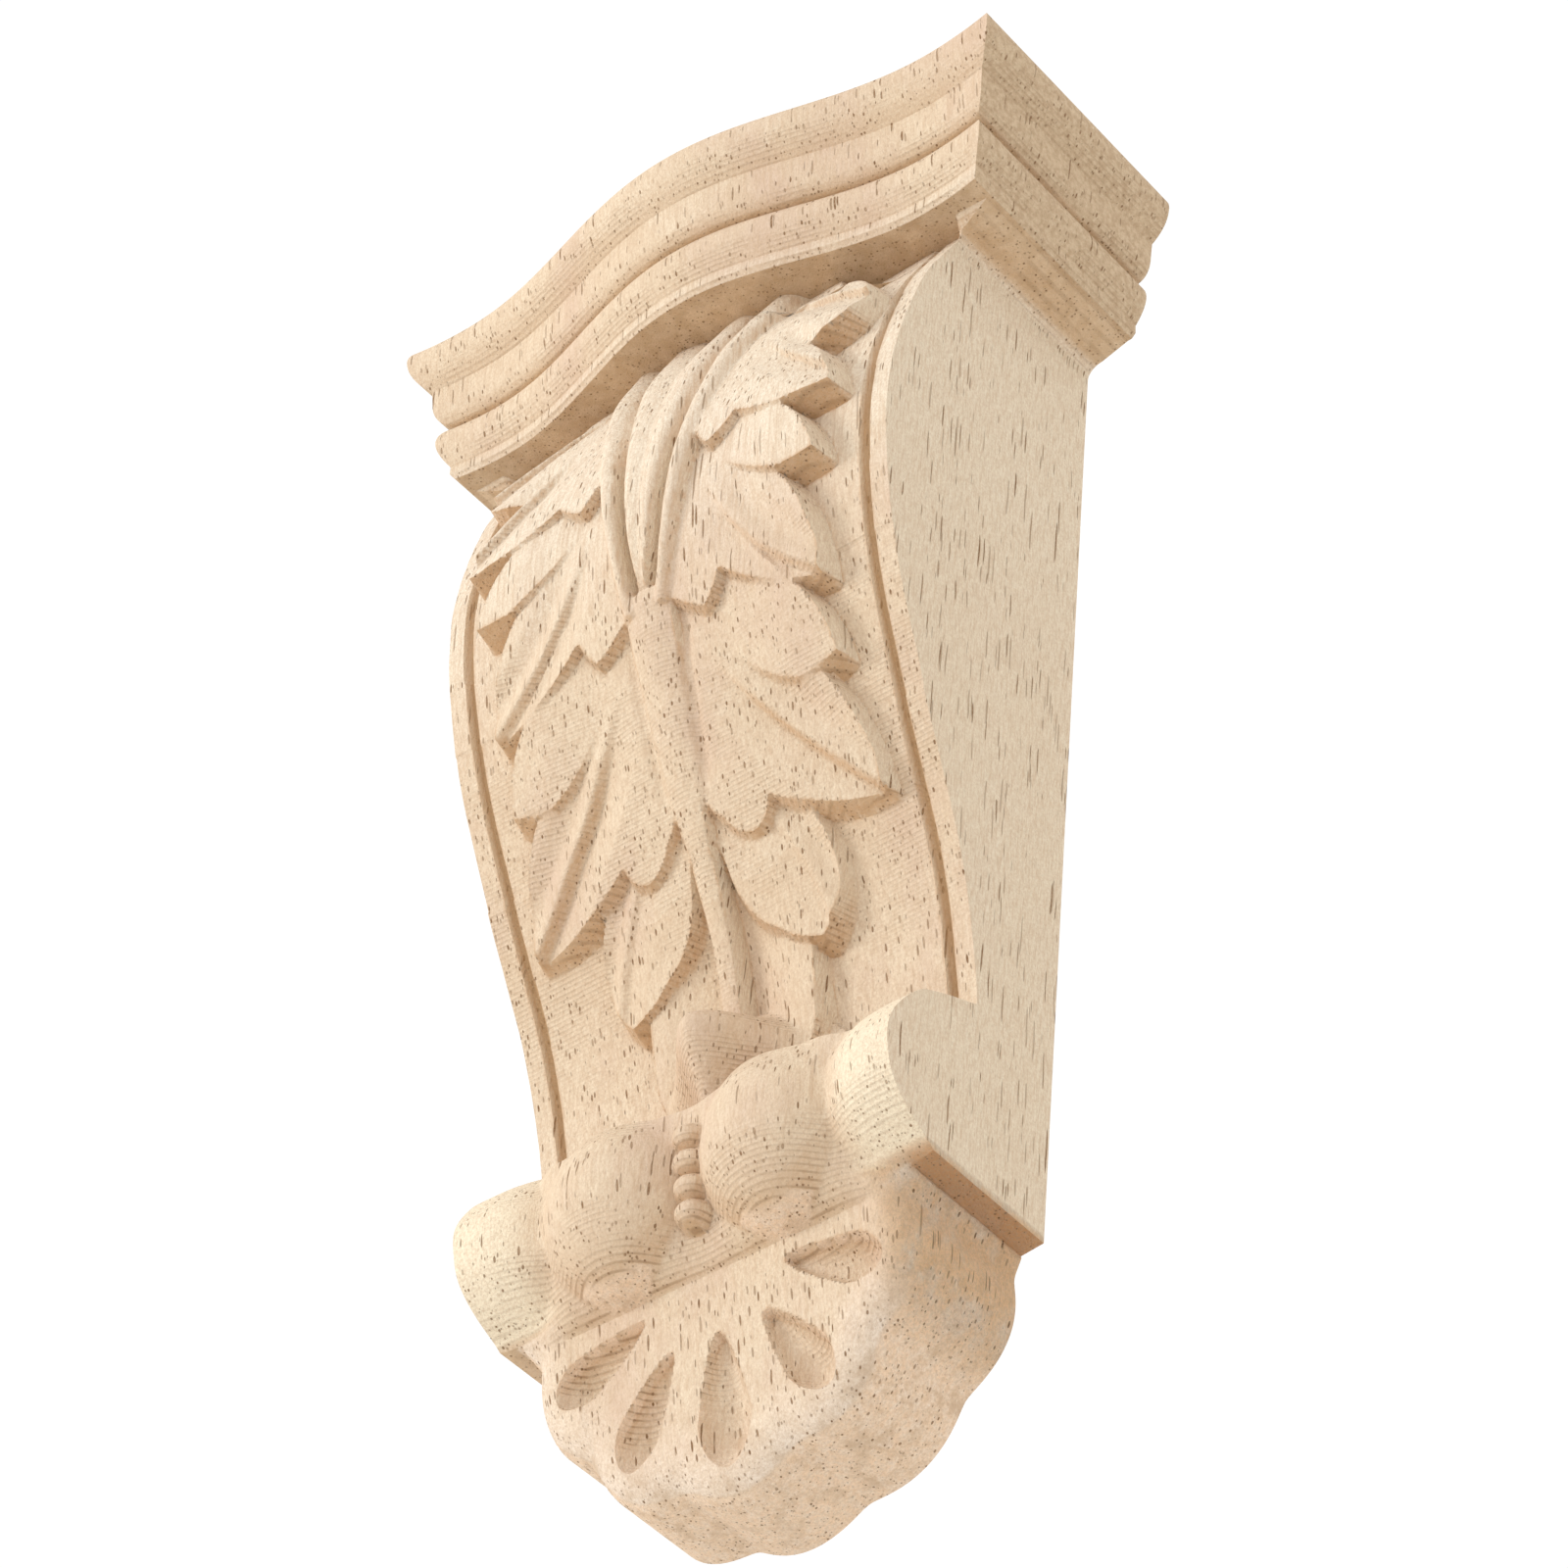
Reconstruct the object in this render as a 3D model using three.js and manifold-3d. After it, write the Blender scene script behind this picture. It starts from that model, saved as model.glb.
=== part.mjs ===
// A carved wooden corbel: a bowed, moulded cap over an S-shaped body with an acanthus leaf,
// ending in two balls, a row of beads, two ears and a fluted shell foot.
// Millimetres, +Z up. The wall face is the plane y = 0 and the front looks along -Y.
// The origin lies on the wall face, on the middle line, at half of the whole height.
import * as THREE from "three";
import { mergeVertices } from "three/addons/utils/BufferGeometryUtils.js";
import Module from "manifold-3d";

// Cap, seen from above: straight ends, and a front that bows out between two low points.
const CAP_WIDTH = 100;
const CAP_DEPTH = 39; // wall to the low points of the front
const BOW_RISE = 6.9; // middle of the front past the low points
const BOW_SPAN = 80; // from one low point to the other
const CORNER_FLICK = 0.8; // corners past the low points
const BOW_STEPS = 26;

// Cap, seen from the end: depths below the top and steps in from the outermost edge.
const TOP_ROUND = 2.5; // rounded top edge
const FASCIA_HEIGHT = 7.9;
const FASCIA_STEP = 2.8;
const FILLET_HEIGHT = 2.3; // square fillet under the fascia
const COVE_HEIGHT = 4.1; // hollow under the fillet
const COVE_STEP = 2.8;
const TORUS_HEIGHT = 7.8; // round moulding under the hollow
const TORUS_BULGE = 1.8;
const LISTEL_HEIGHT = 1.6; // flat band at the bottom
const LISTEL_BEVEL = 0.6;
const SOFFIT_SLOPE_WIDTH = 6.2; // underside at the ends, sloping down to the body
const SOFFIT_SLOPE_DROP = 2;
const SOFFIT_COVE = 2.2; // hollow between the underside and the sides

// Body and foot.
const BODY_WIDTH = 73.9; // at the underside of the cap
const LEDGE_WIDTH = 63.6; // at the ledge under the ears
const BODY_LENGTH = 144; // underside of the cap to the ledge
const BELLY_DEPTH = 38.7; // wall to the fullest part of the ground
const FOOT_LENGTH = 28.8; // ledge to the lowest point
const FOOT_WIDTH = 57.2; // across the shell under the ledge
const FOOT_EDGE_ROUND = 4.5; // rounded edge between the face and the rim of the shell

// Groove along both edges of the face.
const GROOVE_INSET = 3.4;
const GROOVE_WIDTH = 1.5;
const GROOVE_DEPTH = 1;
const GROOVE_END = 145; // on the drawing, where the ears begin

// Relief above the ground.
const LEAF_RELIEF = 4.7; // highest edge of the leaf
const PIPE_RELIEF = 6.6; // stems between the two halves of the leaf
const RIB_RELIEF = 5; // middle rib, where it leaves the stems
const LEAF_DRAFT = 0.9; // run-out of the cut edges
const BALL_RELIEF = 10.8; // each ball past the ground beside it
const BEAD_RELIEF = 2.5; // each bead past the hollow between the balls
const BEAD_COUNT = 4;
const FLUTE_DEPTH = 3.2; // drop-shaped hollows in the shell

// Fineness of the carved face.
const FACE_TOLERANCE = 0.3;
const FACE_GAP = 1; // least distance between points added to the face

const WOOD = new THREE.MeshStandardMaterial({
  name: "bare rubberwood",
  color: 0xe6cfae,
  roughness: 0.78,
  metalness: 0,
});

const MOULDING_HEIGHT = FASCIA_HEIGHT + FILLET_HEIGHT + COVE_HEIGHT + TORUS_HEIGHT;
const CAP_HEIGHT = MOULDING_HEIGHT + LISTEL_HEIGHT + LISTEL_BEVEL;
const TOTAL_HEIGHT = CAP_HEIGHT + BODY_LENGTH + FOOT_LENGTH;
const TOP_Z = TOTAL_HEIGHT / 2;

// The carving is laid out on a drawing of the face: x from the middle line, t down from the top
// and h out from the wall. The drawing is then fitted to the body, the foot and the belly.
const DRAWN = { soffit: 24.3, ledge: 168.3, end: 197.1, width: 73.9, ledgeWidth: 63.6, belly: 38.7 };
const BOARD = { x: 46, top: 15, bottom: 200 }; // part of the drawing that is carved

const clamp = THREE.MathUtils.clamp;
const smooth = (t, a, b) => THREE.MathUtils.smoothstep(t, a, b);
const ramp = (t, a, b) => clamp((t - a) / (b - a), 0, 1);
const dome = (q) => Math.sqrt(clamp(q, 0, 1));
const mix = THREE.MathUtils.lerp;

function smoothMax(a, b, blend) {
  const near = Math.max(blend - Math.abs(a - b), 0);
  return Math.max(a, b) + (near * near) / (4 * blend);
}

// Smooth curve through knots [position, value], read at one position.
function knotted(knots, at) {
  const last = knots.length - 1;
  const t = clamp(at, knots[0][0], knots[last][0]);
  let i = 0;
  while (i < last - 1 && t > knots[i + 1][0]) i += 1;
  const slope = (k) => {
    const a = knots[Math.max(k - 1, 0)];
    const b = knots[Math.min(k + 1, last)];
    return (b[1] - a[1]) / (b[0] - a[0]);
  };
  const [t0, v0] = knots[i];
  const [t1, v1] = knots[i + 1];
  const run = t1 - t0;
  const s = (t - t0) / run;
  const s2 = s * s;
  const s3 = s2 * s;
  return (
    v0 * (2 * s3 - 3 * s2 + 1) +
    slope(i) * run * (s3 - 2 * s2 + s) +
    v1 * (3 * s2 - 2 * s3) +
    slope(i + 1) * run * (s3 - s2)
  );
}

function drawnHalf(t) {
  return mix(DRAWN.width, DRAWN.ledgeWidth, (t - DRAWN.soffit) / (DRAWN.ledge - DRAWN.soffit)) / 2;
}

function fitAcross(t) {
  const s = (Math.min(t, DRAWN.ledge) - DRAWN.soffit) / (DRAWN.ledge - DRAWN.soffit);
  return mix(BODY_WIDTH, LEDGE_WIDTH, s) / mix(DRAWN.width, DRAWN.ledgeWidth, s);
}

function fitDown(t) {
  if (t <= DRAWN.ledge)
    return CAP_HEIGHT + ((t - DRAWN.soffit) * BODY_LENGTH) / (DRAWN.ledge - DRAWN.soffit);
  return CAP_HEIGHT + BODY_LENGTH + ((t - DRAWN.ledge) * FOOT_LENGTH) / (DRAWN.end - DRAWN.ledge);
}

const FIT_OUT = BELLY_DEPTH / DRAWN.belly;

// Distance and parameter along a curve of the drawing; the distance is positive above the curve.
function strokeOf(points) {
  const curve =
    points.length === 2
      ? new THREE.LineCurve(...points.map(([x, t]) => new THREE.Vector2(x, t)))
      : new THREE.QuadraticBezierCurve(...points.map(([x, t]) => new THREE.Vector2(x, t)));
  return curve.getPoints(16);
}

function alongStroke(stroke, x, t) {
  let best = Infinity;
  let at = 0;
  let above = 1;
  for (let i = 0; i + 1 < stroke.length; i += 1) {
    const a = stroke[i];
    const b = stroke[i + 1];
    const dx = b.x - a.x;
    const dt = b.y - a.y;
    const u = clamp(((x - a.x) * dx + (t - a.y) * dt) / (dx * dx + dt * dt), 0, 1);
    const d = Math.hypot(x - a.x - u * dx, t - a.y - u * dt);
    if (d < best) {
      best = d;
      at = (i + u) / (stroke.length - 1);
      above = dx * (t - a.y) - dt * (x - a.x) > 0 ? -1 : 1;
    }
  }
  return { at, off: above * best };
}

// Outline of a tier of the leaf: corners [x, t, bulge], each side bulging out by its bulge.
function outlineOf(corners) {
  const path = new THREE.Path().moveTo(corners[0][0], corners[0][1]);
  corners.forEach(([x0, t0, bulge = 0], i) => {
    const [x1, t1] = corners[(i + 1) % corners.length];
    const length = Math.hypot(x1 - x0, t1 - t0);
    const lift = (2 * bulge) / length;
    const middle = [(x0 + x1) / 2 - lift * (t1 - t0), (t0 + t1) / 2 + lift * (x1 - x0)];
    if (bulge) path.quadraticCurveTo(...middle, x1, t1);
    else path.lineTo(x1, t1);
  });
  return path.getPoints(5).slice(0, -1);
}

// Distance to an outline, positive inside.
function insetOf(outline, x, t) {
  let best = Infinity;
  let inside = false;
  outline.forEach((a, i) => {
    const b = outline[(i + 1) % outline.length];
    const dx = b.x - a.x;
    const dt = b.y - a.y;
    const u = clamp(((x - a.x) * dx + (t - a.y) * dt) / (dx * dx + dt * dt || 1), 0, 1);
    best = Math.min(best, Math.hypot(x - a.x - u * dx, t - a.y - u * dt));
    if (a.y > t !== b.y > t && x < (dx * (t - a.y)) / dt + a.x) inside = !inside;
  });
  return inside ? best : -best;
}

// The right half of the leaf, tier under tier. A tier rises from its root to its free edge;
// rise = [from, to] is measured down the face, or across it where side is set.
// A fold is a crest that steps down on its lower side by step and is hollowed on its upper
// side by dip, each over its own reach.
const TIERS = [
  {
    corners: [
      [-1, 56],
      [6.8, 52.8, 0.5],
      [10.3, 60, 0.3],
      [14.3, 56.4, 1.3],
      [29.2, 60, 1.1],
      [23.2, 47.4, 0.5],
      [29.4, 45.4, 0.3],
      [31, 40, 1],
      [22, 29],
      [16, 16],
      [-1, 16],
    ],
    rise: [20, 56],
    height: [3.3, 4.7],
    folds: [
      { crest: [[12, 26], [20, 32], [30.5, 40.5]], step: 1.2, reach: 4.5, dip: 0.6, dipReach: 5 },
      { crest: [[15, 40], [20, 48], [29, 57]], step: 1.1, reach: 4.5, dip: 0.8, dipReach: 5 },
    ],
  },
  {
    corners: [
      [8, 60],
      [12.5, 63.6, 0.5],
      [21, 70.4, 0.2],
      [27, 70.4, 0.8],
      [22.3, 60.5],
      [15, 50],
      [8, 50],
    ],
    rise: [9, 20],
    side: true,
    height: [3.0, 4.3],
    folds: [],
  },
  {
    corners: [
      [-1, 78.6],
      [2.6, 79.6, 0.4],
      [8.6, 84.6, 0.3],
      [11.2, 80, 1.5],
      [25.6, 87.4, 1.4],
      [21, 70.6],
      [14, 50],
      [-1, 50],
    ],
    rise: [56, 85],
    height: [3.0, 3.9],
    folds: [{ crest: [[9, 62], [13, 78], [25.4, 87]], step: 1.1, reach: 4.5, dip: 0.9, dipReach: 6 }],
  },
  {
    corners: [
      [8, 86],
      [12, 92.5, 0.6],
      [19.3, 98.4, 0.3],
      [25.4, 97.4, 1],
      [21, 86.5],
      [14, 76],
      [8, 76],
    ],
    rise: [9, 19],
    side: true,
    height: [2.2, 3.3],
    folds: [],
  },
  {
    corners: [
      [-1, 104.5],
      [1.8, 105.2, 0.3],
      [4.6, 109.6, 0.6],
      [8.2, 112.4, 0.8],
      [11.2, 109, 1.4],
      [26.8, 114.2, 1.3],
      [22, 98],
      [13, 76],
      [-1, 76],
    ],
    rise: [80, 112],
    height: [2.2, 3.2],
    folds: [{ crest: [[6, 87], [14.5, 102.5], [27, 114.2]], step: 1.5, reach: 5.5, dip: 0.8, dipReach: 6 }],
  },
  {
    corners: [
      [1.6, 107],
      [3.2, 116.5, 0.9],
      [8.6, 124.4, 0.7],
      [14.6, 127.8, 0.9],
      [17.8, 119.5, 0.5],
      [15.8, 112],
      [8, 100],
      [1.6, 100],
    ],
    rise: [104, 127],
    height: [1.3, 3.7],
    folds: [{ crest: [[6, 106], [14, 113], [16.2, 127]], step: 0.5, reach: 4, dip: 0.8, dipReach: 5 }],
  },
].map((tier) => ({
  ...tier,
  outline: outlineOf(tier.corners),
  folds: tier.folds.map((fold) => ({ ...fold, stroke: strokeOf(fold.crest) })),
}));

const LEAF_FIT = LEAF_RELIEF / 4.7;

function tierHeight(tier, x, t) {
  const inset = insetOf(tier.outline, x, t);
  if (inset < -LEAF_DRAFT) return 0;
  let h = mix(...tier.height, ramp(tier.side ? x : t, ...tier.rise));
  for (const fold of tier.folds) {
    const { at, off } = alongStroke(fold.stroke, x, t);
    const grown = smooth(at, 0, 0.5);
    const deepest = fold.dipReach / 2;
    const low = fold.step * ramp(-off, 0, 0.7) * (1 - ramp(-off, 0.7, fold.reach));
    const high = fold.dip * smooth(off, 0, deepest) * (1 - smooth(off, deepest, fold.dipReach));
    h -= grown * (off < 0 ? low : high);
  }
  return Math.max(h, 0) * LEAF_FIT * clamp(inset / LEAF_DRAFT + 1, 0, 1);
}

// Two stems a side, gathered towards the eye of the leaf. Inner is how much slower a stem falls
// away on the side of the middle line.
const EYE = 79;
const STEMS = [
  {
    middle: [[20, 5.4], [50, 2.6], [70, 1.2], [78, 0.4]],
    half: [[20, 3.5], [50, 2.6], [70, 1.3], [78, 0.5]],
    share: [1, 0.74],
    inner: 2.2,
  },
  {
    middle: [[20, 12.2], [50, 7.3], [70, 4.3], [82, 2.3]],
    half: [[20, 3.6], [50, 2.5], [70, 1.7], [82, 1.6]],
    share: [0.95, 0.74],
    inner: 1.2,
  },
];
const STEM_VALLEY = [[40, 5.9], [50, 4.9], [70, 2.7], [77.5, 1.6]];

function stemHeight(stem, x, t) {
  const off = x - knotted(stem.middle, t);
  const q = off / knotted(stem.half, t) / (off < 0 ? stem.inner : 1);
  const end = stem.middle[stem.middle.length - 1][0];
  const height = PIPE_RELIEF * mix(...stem.share, ramp(t, 20, end)) * (1 - smooth(t, end - 1, EYE + 4));
  return height * dome(1 - q * q) ** 0.9;
}

function valleyDepth(x, t) {
  const shown = smooth(t, 42, 60) * (1 - smooth(t, 76.5, 78.5));
  return 1.8 * shown * Math.exp(-(((x - knotted(STEM_VALLEY, t)) / 0.55) ** 2));
}

// Middle rib: a bar that grows out of the stems and stands free on the tongue.
const RIB = {
  half: [[76, 3.9], [84, 3.5], [100, 2.7], [107, 2.2], [113, 1.6], [138, 1.4]],
  height: [[76, 5], [84, 4.4], [92, 3.7], [104, 3.7], [115, 3.6], [130, 3.5], [138, 3.4]],
};

function ribHeight(x, t) {
  const half = knotted(RIB.half, t);
  const top = (knotted(RIB.height, t) * RIB_RELIEF) / 5 - mix(1.1, 0.35, ramp(t, 80, 108)) * (x / half) ** 2;
  const shown = smooth(t, EYE - 8, EYE + 1) * (1 - smooth(t, 134, 139));
  return top * clamp((half - x) / 0.5 + 1, 0, 1) * shown;
}

// The tip of the leaf: a tongue, hollow on both sides of the rib, whose end curls out to a lip.
const TONGUE = {
  half: [[108, 3], [116, 9], [124, 12], [134, 12.2], [140, 11.2], [146, 7], [151, 3]],
  rim: [[104, 0.8], [118, 1.8], [130, 3], [141, 3.3], [151, 3]],
};
const CURL = {
  rise: [
    [131.5, 0],
    [133.6, 3.5],
    [135.6, 9],
    [137.4, 11.6],
    [139.5, 12],
    [143, 10.8],
    [146.5, 9.3],
    [150.5, 8.4],
    [154, 8],
  ],
  half: [[129, 8], [138, 8], [144, 6.2], [150, 4.2], [154, 3.4]],
  lag: 0.035, // how far the lip's ends lie further down
};

function tongueHeight(x, t) {
  if (t < 104 || t > 154) return 0;
  const edge = clamp((knotted(TONGUE.half, t) - x) / 0.8 + 1, 0, 1) * (1 - ramp(t, 147, 151));
  const panel = mix(0.5, knotted(TONGUE.rim, t), smooth(x, 1.5, 11)) * edge;
  const at = t - CURL.lag * x * x;
  if (at < CURL.rise[0][0]) return smoothMax(panel, 0, 0.8);
  const curl = 0.8 + knotted(CURL.rise, at) * Math.exp(-((x / knotted(CURL.half, at)) ** 1.7));
  return smoothMax(panel, curl, 0.8);
}

// Ground from the wall: the long S, seen from the side.
const GROUND = [
  [14, 21],
  [24.3, 26.8],
  [40, 34.4],
  [62, DRAWN.belly],
  [84, 35.6],
  [104, 27.8],
  [124, 18.7],
  [143, 14.2],
  [170, 12],
];
const EAR = {
  side: [
    [143.2, 13.9],
    [144.6, 17.5],
    [146.3, 21.3],
    [148, 24.4],
    [151.8, 27.6],
    [156, 29.5],
    [160, 29.2],
    [163, 28],
    [165.5, 25.3],
    [168.3, 20],
  ],
  crease: 21.5, // where the ear meets the ball
  hollow: 0.2,
};
const BAND = { t: 158.6, halfT: 11.8, relief: 4.2, middle: 0.6 }; // swelling that carries the balls
const BALL = { x: 11.6, t: 158.4, ground: 20.2, halfX: 10.9, halfT: 12 };
const BEAD = { first: 154.8, pitch: 3.4, ground: 24.9, drop: 0.45, halfX: 2.3, halfT: 1.8 };

// Shell: its face is a plane that leans back to the foot, with a scalloped rim around an apex.
const SHELL = { apex: 166, face: 20.3, lean: 0.2, radius: 29.1, scallop: 2, scallopAngle: 31.5 };
const FLUTE_END = 1.6; // length of the round end as a share of the half width
const FLUTES = [
  { tip: [0, 178.1], end: [0, 194.4], half: 3.8 },
  { tip: [6.7, 178.1], end: [14.8, 189.8], half: 3.2 },
  { tip: [10.3, 173], end: [23.6, 178.2], half: 3 },
].map((flute) => {
  const run = [flute.end[0] - flute.tip[0], flute.end[1] - flute.tip[1]];
  const length = Math.hypot(...run);
  return { ...flute, length, along: run.map((r) => r / length) };
});

function shellFace(t) {
  return SHELL.face - SHELL.lean * (t - DRAWN.ledge);
}

function shellRadius(angle) {
  const turn = (Math.PI * angle) / THREE.MathUtils.degToRad(SHELL.scallopAngle);
  const lobes = Math.sqrt((Math.cos(turn) ** 2 + 0.03) / 1.03);
  return SHELL.radius * (1 - 0.045 * (angle / THREE.MathUtils.degToRad(84)) ** 2) + SHELL.scallop * lobes;
}

function fromRim(x, t) {
  return shellRadius(Math.atan2(x, t - SHELL.apex)) - Math.hypot(x, t - SHELL.apex);
}

// Half width of a drop at a distance from its tip.
function fluteHalf(flute, u) {
  const centre = flute.length - FLUTE_END * flute.half;
  if (u < 0 || u > flute.length) return 0;
  if (u < centre) return flute.half * ramp(u, 0, centre) ** 0.6;
  return Math.sqrt(flute.half ** 2 - ((u - centre) / FLUTE_END) ** 2);
}

function fluteDepth(flute, x, t) {
  const [dx, dt] = flute.along;
  const u = (x - flute.tip[0]) * dx + (t - flute.tip[1]) * dt;
  const v = (x - flute.tip[0]) * dt - (t - flute.tip[1]) * dx;
  if (u <= 0 || u >= flute.length) return 0;
  const centre = flute.length - FLUTE_END * flute.half;
  const out = u < centre ? v / fluteHalf(flute, u) : Math.hypot((u - centre) / FLUTE_END, v) / flute.half;
  return FLUTE_DEPTH * mix(0.45, 1, ramp(u / flute.length, 0, 0.75)) * dome(1 - out ** 2) ** 1.5;
}

function earHeight(x, t) {
  const rim = knotted(EAR.side, t);
  const inner = drawnHalf(t) - 3;
  const s = ramp(inner - x, 0, inner - EAR.crease);
  const height = rim - Math.max(rim - 16, 0) * EAR.hollow * s * s - 0.9 * Math.max(EAR.crease - x, 0) ** 1.5;
  return t > DRAWN.ledge ? Math.min(height, shellFace(t)) : height;
}

// Height of the carved face above the wall at a point of the drawing.
function faceHeight(x, t) {
  const half = drawnHalf(t);
  let h = knotted(GROUND, t);
  if (x > half) h += 1.5 * Math.max(26.5 - t, 0) * ramp(x, half, half + 1.2);
  const groove = (x - half + GROOVE_INSET / fitAcross(t)) / (GROOVE_WIDTH / 2 / fitAcross(t));
  if (t < GROOVE_END) h -= (GROOVE_DEPTH / FIT_OUT) * dome(1 - groove * groove);

  let leaf = 0;
  for (const tier of TIERS) leaf = Math.max(leaf, tierHeight(tier, x, t));
  for (const stem of STEMS) if (t < EYE + 4) leaf = smoothMax(leaf, stemHeight(stem, x, t), 0.5);
  leaf = Math.max(Math.max(leaf, ribHeight(x, t)) - valleyDepth(x, t), tongueHeight(x, t));
  h += leaf;

  if (t > 150) {
    const band = BAND.relief * dome(1 - ((t - BAND.t) / BAND.halfT) ** 2);
    const share = mix(BAND.middle, 1, smooth(x, 0, 8)) * (1 - smooth(x, 19, 27));
    h = Math.max(h, shellFace(t) + band * share);
  }
  if (t > EAR.side[0][0] && x > 15) h = smoothMax(h, earHeight(x, t), 1);
  const ball = 1 - ((x - BALL.x) / BALL.halfX) ** 2 - ((t - BALL.t) / BALL.halfT) ** 2;
  if (ball > 0) h = smoothMax(h, BALL.ground + BALL_RELIEF * dome(ball), 2.2);
  for (let i = 0; i < BEAD_COUNT; i += 1) {
    const bead = 1 - (x / BEAD.halfX) ** 2 - ((t - BEAD.first - i * BEAD.pitch) / BEAD.halfT) ** 2;
    if (bead > 0) h = smoothMax(h, BEAD.ground - BEAD.drop * i + BEAD_RELIEF * dome(bead), 0.5);
  }
  for (const flute of FLUTES) h -= fluteDepth(flute, x, t);

  if (t > DRAWN.ledge) {
    const round = FOOT_EDGE_ROUND;
    const lost = round - Math.sqrt(round ** 2 - (round - clamp(fromRim(x, t), 0, round)) ** 2);
    h -= lost * ramp(t, DRAWN.ledge, DRAWN.ledge + 3);
  }
  return h;
}

// Triangles over half of the drawing. Points are added where the flat triangles miss the
// carving by more than the tolerance, and the triangles stay as even as they can.
class Facing {
  constructor(width, top, bottom) {
    this.box = { width, top, bottom };
    this.points = [];
    this.triangles = [];
    this.buckets = new Map();
    [
      [0, top],
      [width, top],
      [width, bottom],
      [0, bottom],
    ].forEach(([x, t]) => this.store(x, t));
    this.triangles.push(this.triangle(0, 1, 2), this.triangle(0, 2, 3));
  }

  store(x, t) {
    this.points.push({ x, t, h: faceHeight(x, t) });
    const key = Math.floor(x) + 1000 * Math.floor(t);
    if (!this.buckets.has(key)) this.buckets.set(key, []);
    this.buckets.get(key).push(this.points.length - 1);
    return this.points.length - 1;
  }

  nearest(x, t, within) {
    const reach = Math.ceil(within);
    let best = Infinity;
    for (let i = -reach; i <= reach; i += 1)
      for (let j = -reach; j <= reach; j += 1)
        for (const k of this.buckets.get(Math.floor(x) + i + 1000 * (Math.floor(t) + j)) ?? [])
          best = Math.min(best, Math.hypot(this.points[k].x - x, this.points[k].t - t));
    return best;
  }

  triangle(a, b, c) {
    const [p, q, r] = [a, b, c].map((i) => this.points[i]);
    const d = 2 * (p.x * (q.t - r.t) + q.x * (r.t - p.t) + r.x * (p.t - q.t));
    const pp = p.x ** 2 + p.t ** 2;
    const qq = q.x ** 2 + q.t ** 2;
    const rr = r.x ** 2 + r.t ** 2;
    const x = (pp * (q.t - r.t) + qq * (r.t - p.t) + rr * (p.t - q.t)) / d;
    const t = (pp * (r.x - q.x) + qq * (p.x - r.x) + rr * (q.x - p.x)) / d;
    return { corners: [a, b, c], x, t, reach: (p.x - x) ** 2 + (p.t - t) ** 2 };
  }

  add(x, t, gap) {
    const { width, top, bottom } = this.box;
    if (Math.abs(x) < FACE_GAP * 0.6) x = 0;
    if (x < 0 || x > width || t < top || t > bottom || this.nearest(x, t, gap) < gap) return;
    const hit = this.triangles.filter((f) => (f.x - x) ** 2 + (f.t - t) ** 2 < f.reach * (1 - 1e-12));
    const edges = new Map();
    for (const face of hit)
      face.corners.forEach((a, i) => {
        const b = face.corners[(i + 1) % 3];
        if (!edges.delete(b + "," + a)) edges.set(a + "," + b, [a, b]);
      });
    const dropped = new Set(hit);
    this.triangles = this.triangles.filter((f) => !dropped.has(f));
    const at = this.store(x, t);
    for (const [a, b] of edges.values()) {
      const p = this.points[a];
      const q = this.points[b];
      const turn = (q.x - p.x) * (t - p.t) - (q.t - p.t) * (x - p.x);
      if (Math.abs(turn) > 1e-9) this.triangles.push(this.triangle(a, b, at));
    }
  }

  // The worst miss inside each triangle, read on a fine grid.
  worst(tolerance, pitch) {
    const found = [];
    for (const { corners } of this.triangles) {
      const [p, q, r] = corners.map((i) => this.points[i]);
      const area = (q.x - p.x) * (r.t - p.t) - (q.t - p.t) * (r.x - p.x);
      let most = tolerance;
      let spot = null;
      const [left, right] = [Math.min(p.x, q.x, r.x), Math.max(p.x, q.x, r.x)];
      const [upper, lower] = [Math.min(p.t, q.t, r.t), Math.max(p.t, q.t, r.t)];
      for (let i = Math.ceil(left / pitch); i * pitch <= right; i += 1)
        for (let j = Math.ceil(upper / pitch); j * pitch <= lower; j += 1) {
          const x = i * pitch;
          const t = j * pitch;
          const u = ((r.t - p.t) * (x - p.x) - (r.x - p.x) * (t - p.t)) / area;
          const v = ((q.x - p.x) * (t - p.t) - (q.t - p.t) * (x - p.x)) / area;
          if (u < 0 || v < 0 || u + v > 1 || x > drawnHalf(t) + 3) continue;
          const miss = Math.abs(p.h + u * (q.h - p.h) + v * (r.h - p.h) - faceHeight(x, t));
          if (miss > most) {
            most = miss;
            spot = [x, t];
          }
        }
      if (spot) found.push([most, ...spot]);
    }
    return found.sort((a, b) => b[0] - a[0]);
  }
}

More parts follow.
